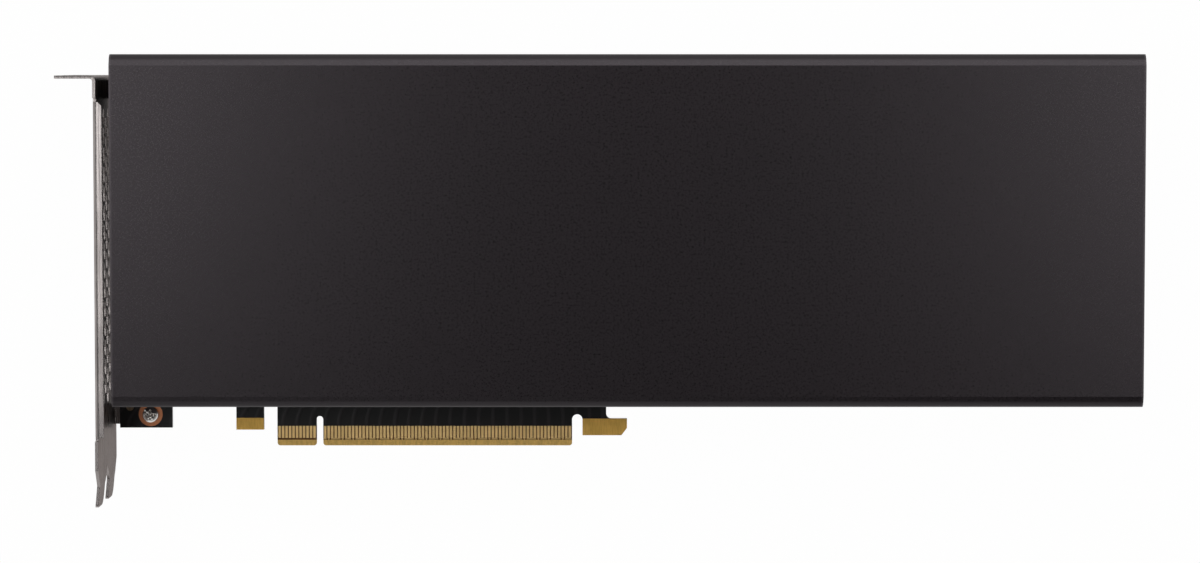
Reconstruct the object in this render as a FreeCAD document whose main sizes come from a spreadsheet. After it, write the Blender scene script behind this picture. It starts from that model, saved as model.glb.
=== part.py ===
import FreeCAD, Part
import os
import re
import Sketcher

# Passive accelerator card, full height and two slots wide, lying on its backplate.
#
# The drawing frame is the card's own: X = 0 at the middle of the key notch, Y = 0 at the lower
# edge of the contacts and Z = 0 on the component face of the board. X runs from the slot bracket
# towards the rear end, Y to the card's top edge and Z to the shroud's front face. Every sub-part's
# Placement moves this frame so that the origin is under the middle of the finished card.

SIZES = {
    # circuit board and card edge
    "card_height": 111.78,
    "board_thick": 1.57,
    "board_right": 229.4,
    "board_edge_clear": 0.3,
    "shelf_low": 11.6,
    "bracket_tab_left": 57.2,
    "bracket_tab_width": 15.0,
    "bracket_tab_low": 5.16,
    "small_tab_left": 23.9,
    "small_tab_width": 7.9,
    "small_tab_low": 4.58,
    "small_tab_gold": 3.37,
    "key_width": 1.9,
    "key_height": 8.49,
    "contact_pitch": 1.0,
    "contact_width": 0.7,
    "contact_start": 0.55,
    "contact_spare": 0.2,
    "contact_low": 2.2,
    "contact_high": 5.65,
    "contact_thick": 0.05,
    "long_count": 71,
    "short_count": 11,
    "tongue_round": 0.8,
    "edge_bevel_high": 2.2,
    "edge_bevel_deep": 0.5,
    "hook_gap": 2.99,
    "hook_gap_height": 8.98,
    "hook_length": 12.73,
    "hook_neck": 6.78,
    "hook_low": 2.97,
    "hook_high": 7.75,
    "hook_bevel_x": 1.6,
    "hook_bevel_y": 2.1,
    "hook_neck_round": 1.4,
    # shroud, an extruded channel open at both ends
    "shroud_left": 55.13,
    "shroud_right": 230.57,
    "shroud_front": 34.3,
    "shroud_wall": 1.5,
    "shroud_low": 14.06,
    "shroud_slope_run": 3.1,
    "shroud_slope_drop": 1.1,
    "shroud_round": 2.6,
    "shroud_inner_round": 1.0,
    # slot bracket, one folded sheet
    "bracket_gap": 1.53,
    "bracket_sheet": 0.86,
    "bracket_top": 105.9,
    "bracket_height": 120.02,
    "bracket_width": 38.74,
    "bracket_far": 3.71,
    "flange_depth": 11.3,
    "flange_round": 1.6,
    "flange_slot_width": 4.4,
    "flange_slot_depth": 5.2,
    "flange_slot_inset": 6.0,
    "slot_pitch": 20.32,
    "tail_mid": 15.66,
    "tail_tab_width": 10.19,
    "tail_shoulder": 3.4,
    "tail_neck": 8.4,
    "tail_slit_top": 4.0,
    "tail_bend": 7.6,
    "tail_lean": 0.6,
    "tail_round": 3.0,
    "tail_ease": 0.8,
    "lip_width": 2.5,
    "lip_low": 5.8,
    "lip_high": 98.6,
    "lip_chamfer": 1.0,
    "lip_round": 1.5,
    "relief_width": 1.1,
    "relief_depth": 1.6,
    "vent_flats": 4.4,
    "vent_web": 1.0,
    "vent_low": 16.0,
    "vent_rows": 15,
    "vent_pairs": 3,
    "foot_length": 14.3,
    "foot_width": 5.8,
    # bracket screws and the copper rings under them
    "bracket_screw_x": 48.4,
    "bracket_screw_low": 9.0,
    "bracket_screw_high": 102.0,
    "bracket_screw_radius": 1.25,
    "bracket_head_radius": 2.28,
    "bracket_head_high": 1.9,
    "bracket_head_round": 0.8,
    "ring_outer": 3.43,
    "ring_inner": 1.7,
    "test_pad_radius": 1.1,
    "test_pad_x": 54.3,
    "test_pad_y": 11.1,
    # heat sink
    "sink_left": 22.0,
    "sink_right": 196.0,
    "sink_side_clear": 0.4,
    "sink_base_low": 5.0,
    "sink_base_thick": 3.5,
    "fin_count": 36,
    "fin_thick": 0.5,
    "fin_top_clear": 0.3,
    "chip_step_high": 1.8,
    "step_margin": 1.0,
    "boss_radius": 3.0,
    "tap_depth": 4.2,
    # processor
    "chip_x": 70.0,
    "chip_y": 62.0,
    "substrate_side": 50.0,
    "substrate_thick": 1.6,
    "lid_flange_side": 46.0,
    "lid_flange_thick": 0.8,
    "lid_side": 40.0,
    "lid_thick": 1.2,
    "paste_side": 38.0,
    "paste_thick": 0.3,
    # memory, power stages and the rest of the board's components
    "memory_columns": 2,
    "memory_gap": 10.0,
    "memory_long": 11.0,
    "memory_wide": 7.5,
    "memory_high": 1.1,
    "column_low": 24.0,
    "column_pitch": 10.0,
    "column_clear": 7.0,
    "stage_gap": 8.0,
    "stage_long": 6.0,
    "stage_wide": 5.0,
    "stage_high": 0.8,
    "inductor_gap": 4.0,
    "inductor_side": 9.0,
    "inductor_high": 4.4,
    "ceramic_gap": 5.0,
    "ceramic_long": 1.6,
    "ceramic_wide": 0.8,
    "ceramic_high": 0.8,
    "ceramic_pitch_x": 4.0,
    "ceramic_pitch_y": 4.0,
    "ceramic_columns": 2,
    "ceramic_rows": 18,
    "controller_gap": 6.4,
    "controller_low": 50.0,
    "controller_side": 8.0,
    "controller_high": 0.9,
    "manager_left": 10.0,
    "manager_low": 38.0,
    "manager_side": 14.0,
    "manager_high": 1.3,
    "flash_low": 62.0,
    "flash_long": 8.0,
    "flash_wide": 6.0,
    "flash_high": 1.6,
    "clock_low": 76.0,
    "clock_long": 7.0,
    "clock_wide": 5.0,
    "clock_high": 1.4,
    "bulk_gap": 3.5,
    "bulk_low": 19.0,
    "bulk_foot": 8.6,
    "bulk_foot_high": 1.2,
    "bulk_radius": 4.0,
    "bulk_high": 9.0,
    "bulk_pitch": 9.4,
    "bulk_count": 7,
    # power connector at the rear end
    "plug_side_clear": 5.98,
    "plug_setback": 1.7,
    "plug_long": 14.6,
    "plug_pitch": 4.2,
    "plug_cell": 3.5,
    "plug_cell_deep": 11.0,
    "plug_wall": 1.1,
    "plug_across": 4,
    "plug_rows": 2,
    "plug_latch_width": 5.0,
    "plug_latch_high": 1.6,
    "plug_latch_long": 6.0,
    "plug_pin": 1.0,
    "plug_pin_long": 8.5,
    # rear bar with the extender's threaded holes
    "bar_depth": 6.0,
    "bar_setback": 0.7,
    "bar_side_clear": 1.44,
    "bar_plug_clear": 5.0,
    "bar_high": 7.5,
    "extender_radius": 1.25,
    "extender_inset": 9.0,
    "extender_deep": 5.0,
    # backplate side
    "plate_gap": 1.47,
    "plate_thick": 1.2,
    "plate_left": 52.0,
    "plate_low": 12.6,
    "plate_round": 3.0,
    "window_clear": 2.0,
    "window_round": 5.0,
    "film_thick": 0.3,
    "film_margin": 1.5,
    "spacer_radius": 2.5,
    "spacer_clear": 0.3,
    # flat-headed screws through walls and backplate
    "fix_radius": 1.25,
    "fix_head_radius": 2.25,
    "fix_recess": 0.5,
    "fix_end_inset": 10.0,
    "fix_side_inset": 4.1,
    "fix_count": 4,
    "side_screw_long": 6.5,
    "side_offset": 22.0,
    "side_count": 3,
    "tap_spare": 0.4,
    "screw_clear": 0.02,
    # retention spring and its screws behind the processor
    "hold_gap": 1.5,
    "hold_thick": 1.0,
    "hold_arm": 7.0,
    "hold_hub": 11.0,
    "hold_head_radius": 2.5,
    "hold_head_high": 1.2,
    "recess_width": 0.6,
    "recess_deep": 0.7,
}

# Places that follow from the sizes, by name, so that pieces which meet share one value.
PLACES = {
    "board_back": "-board_thick",
    "board_top": "card_height - shroud_wall - board_edge_clear",
    "key_half": "key_width / 2",
    "short_end": "-key_half - short_count * contact_pitch - contact_spare",
    "long_end": "key_half + long_count * contact_pitch + contact_spare",
    "hook_start": "long_end + hook_gap",
    "hook_end": "hook_start + hook_length",
    "neck_end": "hook_start + hook_neck",
    "tab_right": "bracket_tab_width - bracket_tab_left",
    "small_right": "small_tab_width - small_tab_left",
    "plate_inner": "board_back - plate_gap",
    "plate_outer": "plate_inner - plate_thick",
    "wall_in_low": "shroud_low + shroud_wall",
    "wall_in_high": "card_height - shroud_wall",
    "front_in": "shroud_front - shroud_wall",
    "sink_low": "wall_in_low + sink_side_clear",
    "sink_high": "wall_in_high - sink_side_clear",
    "sink_base_top": "sink_base_low + sink_base_thick",
    "lid_top": "substrate_thick + lid_flange_thick + lid_thick",
    "face_in_x": "-bracket_tab_left - bracket_gap",
    "face_out_x": "face_in_x - bracket_sheet",
    "flange_tip": "face_in_x - flange_depth",
    "near_edge": "bracket_width - bracket_far",
    "tail_low": "bracket_top - bracket_height",
    "tail_below": "tail_low - bracket_sheet",
    "bracket_middle": "(near_edge - bracket_far) / 2",
    "tab_far_out": "tail_mid - (slot_pitch + tail_tab_width) / 2",
    "tab_far_in": "tab_far_out + tail_tab_width",
    "tab_near_in": "tab_far_out + slot_pitch",
    "tab_near_out": "tab_far_in + slot_pitch",
    "vent_pitch": "vent_flats + vent_web",
    "vent_step": "vent_pitch * sqrt(3) / 2",
    "vent_first": "tail_mid - (vent_pairs - 0.5) * vent_step",
    "foot_end": "face_in_x + foot_length",
    "foot_back": "board_back - bracket_sheet",
    "plug_front": "shroud_right - plug_setback",
    "plug_back": "plug_front - plug_long",
    "plug_width": "plug_across * plug_pitch + 2 * plug_wall - (plug_pitch - plug_cell)",
    "plug_height": "plug_rows * plug_pitch + 2 * plug_wall - (plug_pitch - plug_cell)",
    "bar_front": "shroud_right - bar_setback",
    "bar_back": "bar_front - bar_depth",
    "plate_right": "bar_front",
    "plug_low": "wall_in_high - plug_side_clear - plug_width",
    "bar_low": "wall_in_low + bar_side_clear",
    "bar_high_end": "plug_low - bar_plug_clear",
    "bar_middle": "(bar_low + bar_high_end) / 2",
    "hold_offset": "substrate_side / 2 + boss_radius + hold_gap",
    "window_side": "2 * (hold_offset + hold_arm / 2 + window_clear)",
    "column_count": "floor((wall_in_high - column_clear - inductor_side - column_low) / column_pitch) + 1",
    "memory_left": "chip_x - substrate_side / 2 - memory_gap - memory_long",
    "memory_spacing": "substrate_side + 2 * memory_gap + memory_long",
    "stage_left": "memory_left + memory_spacing + memory_long + stage_gap",
    "inductor_left": "stage_left + stage_long + inductor_gap",
    "ceramic_left": "inductor_left + inductor_side + ceramic_gap",
    "ceramic_right": "ceramic_left + (ceramic_columns - 1) * ceramic_pitch_x + ceramic_long",
    "controller_left": "ceramic_right + controller_gap",
    "bulk_left": "sink_right + bulk_gap",
    "fix_low": "sink_low + fix_side_inset",
    "fix_high": "sink_high - fix_side_inset",
    "fix_first": "fix_end_inset - sink_left",
    "fix_pitch": "(sink_left + sink_right - 2 * fix_end_inset) / (fix_count - 1)",
    "hold_back": "board_back - hold_thick",
    "fix_hole": "fix_radius + screw_clear",
    "fix_sink": "fix_head_radius - fix_radius",
    "side_screw_z": "sink_base_low + sink_base_thick / 2",
    "origin_x": "-(flange_tip + shroud_right) / 2",
    "origin_y": "-(tail_low + card_height) / 2",
    "origin_z": "-plate_outer",
}

document = FreeCAD.newDocument("accelerator_card")
sheet = document.addObject("Spreadsheet::Sheet", "Sizes")
subparts = []


def fill_sheet():
    """Write every driving dimension into the sheet, one row each, with its alias."""
    for row, (alias, number) in enumerate(SIZES.items(), start=1):
        sheet.set("A%d" % row, str(number))
        sheet.setAlias("A%d" % row, alias)
    document.recompute()


def spelled(text):
    """Turn the words of a size expression into references to the sheet's cells."""
    def reference(found):
        word = found.group(0)
        if word in PLACES:
            return "(" + spelled(PLACES[word]) + ")"
        return "Sizes." + word if word in SIZES else word
    return re.sub(r"[a-z][a-z_]*", reference, str(text))


def value(text):
    """The present value of a size expression, in millimetres."""
    return float(sheet.evalExpression(spelled(text)))


def bind(item, name, text):
    """Bind one property of an object to a size expression."""
    item.setExpression(name, spelled(text))


def place(item, x="0", y="0", z="0", turn=None):
    """Bind an object's Placement to a point of the drawing frame."""
    if turn:
        item.Placement.Rotation = FreeCAD.Rotation(FreeCAD.Vector(*turn[0]), turn[1])
    for axis, text in zip("xyz", (x, y, z)):
        bind(item, "Placement.Base." + axis, text)


def subpart(item, label):
    """Name a finished sub-part and move it from the drawing frame to the card's origin."""
    item.Label = label
    place(item, "origin_x", "origin_y", "origin_z")
    subparts.append(item)


def new_body(label, separate=False):
    """A PartDesign body, which may hold separate solids when it is a group of like pieces."""
    body = document.addObject("PartDesign::Body", label)
    body.AllowCompound = separate
    subpart(body, label)
    return body


def own_axis(body, role):
    """One of a body's own origin planes or axes, by its role."""
    return next(item for item in body.Origin.OriginFeatures if item.Role == role)


def rectangle(left, low, right, high):
    """The corners of an upright rectangle."""
    return [(left, low), (right, low), (right, high), (left, high)]


def attach(body, plane, height, centre=None, turn=0):
    """An empty sketch on one of the body's origin planes, raised, moved and turned in it."""
    item = body.newObject("Sketcher::SketchObject", "outline")
    item.AttachmentSupport = [(own_axis(body, plane), "")]
    item.MapMode = "FlatFace"
    item.AttachmentOffset.Rotation = FreeCAD.Rotation(FreeCAD.Vector(0, 0, 1), turn)
    for axis, text in zip("xyz", (*(centre or ("0", "0")), height)):
        bind(item, "AttachmentOffset.Base." + axis, text)
    return item


def pin_point(item, curve, end, corner):
    """Bind one point of a sketch to its two size expressions."""
    for kind, text in zip(("DistanceX", "DistanceY"), corner):
        number = item.addConstraint(Sketcher.Constraint(kind, -1, 1, curve, end, value(text)))
        bind(item, "Constraints[%d]" % number, text)


def outline(body, plane, loops, height="0", centre=None, turn=0):
    """A sketch of straight-sided loops, every corner of them bound to the sheet."""
    item = attach(body, plane, height, centre, turn)
    for loop in loops:
        first = item.GeometryCount
        spots = [FreeCAD.Vector(value(u), value(v), 0) for u, v in loop]
        for number, spot in enumerate(spots):
            item.addGeometry(Part.LineSegment(spot, spots[(number + 1) % len(spots)]), False)
        for number, corner in enumerate(loop):
            following = first + (number + 1) % len(loop)
            item.addConstraint(Sketcher.Constraint("Coincident", first + number, 2, following, 1))
            pin_point(item, first + number, 1, corner)
    return item


def circles(body, plane, centres, radius, height="0"):
    """A sketch of equal circles."""
    item = attach(body, plane, height)
    for corner in centres:
        centre = FreeCAD.Vector(value(corner[0]), value(corner[1]), 0)
        curve = item.addGeometry(Part.Circle(centre, FreeCAD.Vector(0, 0, 1), value(radius)), False)
        number = item.addConstraint(Sketcher.Constraint("Radius", curve, value(radius)))
        bind(item, "Constraints[%d]" % number, radius)
        pin_point(item, curve, 3, corner)
    return item


def pad(body, profile, length, down=False):
    """Add material on a sketch, along its normal or against it."""
    item = body.newObject("PartDesign::Pad", "pad")
    item.Profile = profile
    item.Reversed = down
    bind(item, "Length", length)
    document.recompute()
    return item


def pocket(body, profile, length=None, up=False):
    """Cut a sketch out, right through both ways or to a depth, and check that it cut."""
    before = body.Shape.Volume
    item = body.newObject("PartDesign::Pocket", "pocket")
    item.Profile = profile
    if length is None:
        item.Type = "ThroughAll"
        item.SideType = "Symmetric"
    else:
        item.Reversed = up
        bind(item, "Length", length)
    document.recompute()
    if not body.Shape.Volume < before:
        raise RuntimeError("a pocket of %s cut nothing" % body.Label)
    return item


def pattern(body, features, axis, count, pitch, second=None):
    """Repeat features along an origin axis of their body, and along a second one if given."""
    item = body.newObject("PartDesign::LinearPattern", "pattern")
    item.Originals = features
    item.Direction = (own_axis(body, axis), [""])
    item.Mode = "Spacing"
    bind(item, "Occurrences", count)
    bind(item, "Offset", pitch)
    if second:
        item.Direction2 = (own_axis(body, second[0]), [""])
        item.Mode2 = "Spacing"
        bind(item, "Occurrences2", second[1])
        bind(item, "Offset2", second[2])
        # A spacing of -1 stands for the common offset; the first one is 0 unless it is set.
        item.Spacings2 = [-1.0] * (round(value(second[1])) - 1)
    body.Tip = item
    document.recompute()
    return item


def edges_near(item, spots):
    """Names of the edges of a feature whose middles lie nearest to the given points."""
    names = []
    for spot in spots:
        point = FreeCAD.Vector(*[value(text) for text in spot])
        gaps = [(edge.CenterOfMass - point).Length for edge in item.Shape.Edges]
        names.append("Edge%d" % (gaps.index(min(gaps)) + 1))
    return names


def soften(body, kind, spots, size):
    """Fillet or chamfer the edges of a body's last feature that lie nearest to the points."""
    base = body.Tip
    item = body.newObject("PartDesign::" + kind, kind.lower())
    item.Base = (base, edges_near(base, spots))
    bind(item, "Radius" if kind == "Fillet" else "Size", size)
    document.recompute()
    return item


def block(label, corner, sides):
    """A plain rectangular piece as a Part::Box sub-part."""
    item = document.addObject("Part::Box", label)
    for name, text in zip(("Length", "Width", "Height"), sides):
        bind(item, name, text)
    item.Label = label
    place(item, *["%s + %s" % pair for pair in zip(("origin_x", "origin_y", "origin_z"), corner)])
    subparts.append(item)
    return item


def cylinder(radius, height, **spot):
    """A Part::Cylinder that later booleans use."""
    item = document.addObject("Part::Cylinder", "round")
    bind(item, "Radius", radius)
    bind(item, "Height", height)
    place(item, **spot)
    return item


def fused(items):
    """Several primitives as one solid."""
    item = document.addObject("Part::MultiFuse", "fused")
    item.Shapes = items
    item.Refine = True
    return item


def less(base, tool):
    """One solid with another cut out of it."""
    item = document.addObject("Part::Cut", "cut")
    item.Base = base
    item.Tool = tool
    return item


def group(label, items):
    """Like pieces in one sub-part, each still a solid of its own."""
    item = document.addObject("Part::Compound", label)
    item.Links = items
    subpart(item, label)
    return item


def cross_recess(across, deep):
    """The two crossed bars that a driver's recess is cut with, at the top of a screw."""
    bars = []
    for long_side, short_side in ((across, "recess_width"), ("recess_width", across)):
        bar = document.addObject("Part::Box", "bar")
        bind(bar, "Length", long_side)
        bind(bar, "Width", short_side)
        bind(bar, "Height", deep)
        place(bar, "-(%s) / 2" % long_side, "-(%s) / 2" % short_side, "-(%s)" % deep)
        bars.append(bar)
    return fused(bars)


def hold_spots():
    """The four screws of the retention spring, round the processor."""
    return [("chip_x %s hold_offset" % across, "chip_y %s hold_offset" % along)
            for across in "-+" for along in "-+"]


def fix_spots():
    """The backplate's screws into the heat sink, in two rows along the long edges."""
    return [("fix_first + fix_pitch * %d" % number, row)
            for row in ("fix_low", "fix_high") for number in range(SIZES["fix_count"])]


def bar_spots():
    """The backplate's screws into the rear bar."""
    return [("bar_front - bar_depth / 2", "bar_middle %s extender_inset" % side) for side in "-+"]


def bracket_spots():
    """The two screws between board and bracket."""
    return [("-bracket_screw_x", "bracket_screw_low"), ("-bracket_screw_x", "bracket_screw_high")]


def side_spots():
    """The shroud's screws along each side wall, as places along X and Z."""
    return [("fix_first + side_offset + fix_pitch * %d" % number, "side_screw_z")
            for number in range(SIZES["side_count"])]


def make_board():
    """The board: tabs, two contact tongues with the key between them, and the retention hook."""
    body = new_body("board")
    edge = [
        ("-bracket_tab_left", "bracket_tab_low"),
        ("tab_right", "bracket_tab_low"),
        ("tab_right", "shelf_low"),
        ("-small_tab_left", "shelf_low"),
        ("-small_tab_left", "small_tab_low"),
        ("small_right", "small_tab_low"),
        ("small_right", "shelf_low"),
        ("short_end", "shelf_low"),
        ("short_end", "0"),
        ("-key_half", "0"),
        ("-key_half", "key_height - key_half"),
        ("key_half", "key_height - key_half"),
        ("key_half", "0"),
        ("long_end", "0"),
        ("long_end", "hook_gap_height - hook_gap / 2"),
        ("hook_start", "hook_gap_height - hook_gap / 2"),
        ("hook_start", "hook_low"),
        ("hook_end - hook_bevel_x", "hook_low"),
        ("hook_end", "hook_low + hook_bevel_y"),
        ("hook_end", "hook_high"),
        ("neck_end", "hook_high"),
        ("neck_end", "shelf_low"),
        ("board_right", "shelf_low"),
        ("board_right", "board_top"),
        ("-bracket_tab_left", "board_top"),
    ]
    pad(body, outline(body, "XY_Plane", [edge]), "board_thick", down=True)
    tongues = [(x, "0", "board_back / 2") for x in ("short_end", "-key_half", "key_half", "long_end")]
    soften(body, "Fillet", tongues, "tongue_round")
    soften(body, "Fillet", [("neck_end", "hook_high", "board_back / 2")], "hook_neck_round")
    pocket(body, circles(body, "XY_Plane", [("0", "key_height - key_half")], "key_half"))
    gap_top = ("(long_end + hook_start) / 2", "hook_gap_height - hook_gap / 2")
    pocket(body, circles(body, "XY_Plane", [gap_top], "hook_gap / 2"))
    front_bevel = [
        ("edge_bevel_high", "0"),
        ("0", "-edge_bevel_deep"),
        ("-key_width", "-edge_bevel_deep"),
        ("-key_width", "board_thick"),
        ("edge_bevel_high", "board_thick"),
    ]
    back_bevel = [
        ("edge_bevel_high", "board_back"),
        ("0", "board_back + edge_bevel_deep"),
        ("-key_width", "board_back + edge_bevel_deep"),
        ("-key_width", "board_back - board_thick"),
        ("edge_bevel_high", "board_back - board_thick"),
    ]
    pocket(body, outline(body, "YZ_Plane", [front_bevel, back_bevel]))
    holes = hold_spots() + fix_spots() + bar_spots()
    pocket(body, circles(body, "XY_Plane", holes, "fix_hole"))
    pocket(body, circles(body, "XY_Plane", bracket_spots(), "bracket_screw_radius + screw_clear"))


def make_contacts(label, face, down):
    """The contacts of one face of the board, on both tongues."""
    body = new_body(label, separate=True)
    middles = (
        ("key_half + contact_start", "long_count"),
        ("short_end + (contact_spare + contact_pitch) / 2", "short_count"),
    )
    for middle, count in middles:
        corners = rectangle("%s - contact_width / 2" % middle, "contact_low",
                            "%s + contact_width / 2" % middle, "contact_high")
        first = pad(body, outline(body, "XY_Plane", [corners], face), "contact_thick", down)
        pattern(body, [first], "X_Axis", count, "contact_pitch")


def make_plating(label, corners):
    """Gold over both faces of a tab of the board."""
    body = new_body(label, separate=True)
    pad(body, outline(body, "XY_Plane", [corners]), "contact_thick")
    pad(body, outline(body, "XY_Plane", [corners], "board_back"), "contact_thick", down=True)


def make_copper():
    """Bare copper on the component face: a ring under each bracket screw and a test pad."""
    body = new_body("ground_rings", separate=True)
    pad(body, circles(body, "XY_Plane", bracket_spots(), "ring_outer"), "contact_thick")
    rings = circles(body, "XY_Plane", bracket_spots(), "ring_inner")
    pocket(body, rings, "contact_thick", up=True)
    spot = circles(body, "XY_Plane", [("-test_pad_x", "test_pad_y")], "test_pad_radius")
    pad(body, spot, "contact_thick")


def make_shroud():
    """The extruded channel, with sloped and rounded long edges and side screw holes."""
    body = new_body("shroud")
    section = [
        ("card_height", "plate_inner"),
        ("card_height", "shroud_front - shroud_slope_drop"),
        ("card_height - shroud_slope_run", "shroud_front"),
        ("shroud_low + shroud_slope_run", "shroud_front"),
        ("shroud_low", "shroud_front - shroud_slope_drop"),
        ("shroud_low", "0"),
        ("wall_in_low", "0"),
        ("wall_in_low", "front_in"),
        ("wall_in_high", "front_in"),
        ("wall_in_high", "plate_inner"),
    ]
    profile = outline(body, "YZ_Plane", [section], "-shroud_left")
    pad(body, profile, "shroud_left + shroud_right")
    middle = "(shroud_right - shroud_left) / 2"
    outer = [(middle, side, "shroud_front - shroud_slope_drop") for side in ("card_height", "shroud_low")]
    soften(body, "Fillet", outer, "shroud_round")
    inner = [(middle, side, "front_in") for side in ("wall_in_low", "wall_in_high")]
    soften(body, "Fillet", inner, "shroud_inner_round")
    pocket(body, circles(body, "XZ_Plane", side_spots(), "fix_hole"))
    rims = [(x, side, z) for x, z in side_spots() for side in ("card_height", "shroud_low")]
    soften(body, "Chamfer", rims, "fix_sink")


def make_bracket():
    """The slot bracket: flange, perforated face, side lip, feet and forked tail of one sheet."""
    body = new_body("bracket")
    side = [
        ("face_in_x", "-tail_bend"),
        ("face_in_x", "bracket_top"),
        ("flange_tip", "bracket_top"),
        ("flange_tip", "bracket_top - bracket_sheet"),
        ("face_out_x", "bracket_top - bracket_sheet"),
        ("face_out_x", "-tail_bend"),
        ("face_out_x - tail_lean", "tail_low"),
        ("face_in_x - tail_lean", "tail_low"),
    ]
    pad(body, outline(body, "XY_Plane", [side], "-bracket_far"), "bracket_width")
    soften(body, "Fillet", [("face_in_x", "bracket_top", "bracket_middle")], "flange_round")
    inside = ("face_out_x", "bracket_top - bracket_sheet", "bracket_middle")
    soften(body, "Fillet", [inside], "flange_round - bracket_sheet")
    cut_tail(body)
    cut_vents(body)
    cut_flange(body)
    add_lip(body)
    for x, y in bracket_spots():
        foot = rectangle("face_out_x", "%s - foot_width / 2" % y, "foot_end", "%s + foot_width / 2" % y)
        pad(body, outline(body, "XY_Plane", [foot], "board_back"), "bracket_sheet", down=True)
    pocket(body, circles(body, "XY_Plane", bracket_spots(), "bracket_screw_radius + screw_clear"))


def cut_tail(body):
    """Shape the lower end into two tabs with shoulders outside and a slit between them."""
    far_side = [
        ("-tail_shoulder", "-bracket_far"),
        ("-tail_neck", "tab_far_out"),
        ("tail_below", "tab_far_out"),
        ("tail_below", "-bracket_far - bracket_sheet"),
        ("-tail_shoulder", "-bracket_far - bracket_sheet"),
    ]
    slit = [
        ("-tail_slit_top", "tail_mid"),
        ("-tail_neck", "tab_near_in"),
        ("tail_below", "tab_near_in"),
        ("tail_below", "tab_far_in"),
        ("-tail_neck", "tab_far_in"),
    ]
    near_side = [
        ("-tail_shoulder", "near_edge"),
        ("-tail_shoulder", "near_edge + bracket_sheet"),
        ("tail_below", "near_edge + bracket_sheet"),
        ("tail_below", "tab_near_out"),
        ("-tail_neck", "tab_near_out"),
    ]
    pocket(body, outline(body, "YZ_Plane", [far_side, slit, near_side]))
    tip_x = "face_in_x - tail_lean - bracket_sheet / 2"
    soften(body, "Fillet", [(tip_x, "tail_low", z) for z in ("tab_far_out", "tab_near_in")], "tail_round")
    soften(body, "Fillet", [(tip_x, "tail_low", z) for z in ("tab_far_in", "tab_near_out")], "tail_ease")


def cut_vents(body):
    """Perforate the face with two staggered grids of hexagons."""
    for number in range(2):
        y = "(vent_low + vent_pitch * %d / 2)" % number
        z = "(vent_first + vent_step * %d)" % number
        half = "vent_flats / 2"
        side = "vent_flats / sqrt(3)"
        hexagon = [
            ("%s - %s" % (y, half), "%s - %s / 2" % (z, side)),
            (y, "%s - %s" % (z, side)),
            ("%s + %s" % (y, half), "%s - %s / 2" % (z, side)),
            ("%s + %s" % (y, half), "%s + %s / 2" % (z, side)),
            (y, "%s + %s" % (z, side)),
            ("%s - %s" % (y, half), "%s + %s / 2" % (z, side)),
        ]
        first = pocket(body, outline(body, "YZ_Plane", [hexagon]))
        pattern(body, [first], "Y_Axis", "vent_rows", "vent_pitch", ("Z_Axis", "vent_pairs", "2 * vent_step"))


def cut_flange(body):
    """Open the two screw slots at the flange's free edge."""
    slots = []
    ends = []
    for number in range(2):
        z = "flange_slot_inset - bracket_far + slot_pitch * %d" % number
        end = "flange_tip + flange_slot_depth - flange_slot_width / 2"
        low = "%s - flange_slot_width / 2" % z
        high = "%s + flange_slot_width / 2" % z
        slots.append(rectangle("flange_tip - bracket_sheet", low, end, high))
        ends.append((end, z))
    pocket(body, outline(body, "XZ_Plane", slots))
    pocket(body, circles(body, "XZ_Plane", ends, "flange_slot_width / 2"))


def add_lip(body):
    """Turn a stiffening lip in along the near edge, between two relief notches."""
    top = "near_edge + bracket_sheet"
    notch = "near_edge - relief_depth"
    below = rectangle("lip_low - relief_width", notch, "lip_low", top)
    above = rectangle("lip_high", notch, "lip_high + relief_width", top)
    pocket(body, outline(body, "YZ_Plane", [below, above]))
    strip = rectangle("face_out_x", "lip_low", "face_out_x + lip_width", "lip_high")
    pad(body, outline(body, "XY_Plane", [strip], "near_edge - bracket_sheet"), "bracket_sheet")
    middle = "(lip_low + lip_high) / 2"
    soften(body, "Fillet", [("face_out_x", middle, "near_edge")], "lip_round")
    inside = ("face_in_x", middle, "near_edge - bracket_sheet")
    soften(body, "Fillet", [inside], "lip_round - bracket_sheet")
    corner = ("face_out_x + lip_width", "lip_high", "near_edge - bracket_sheet / 2")
    soften(body, "Chamfer", [corner], "lip_chamfer")


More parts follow.
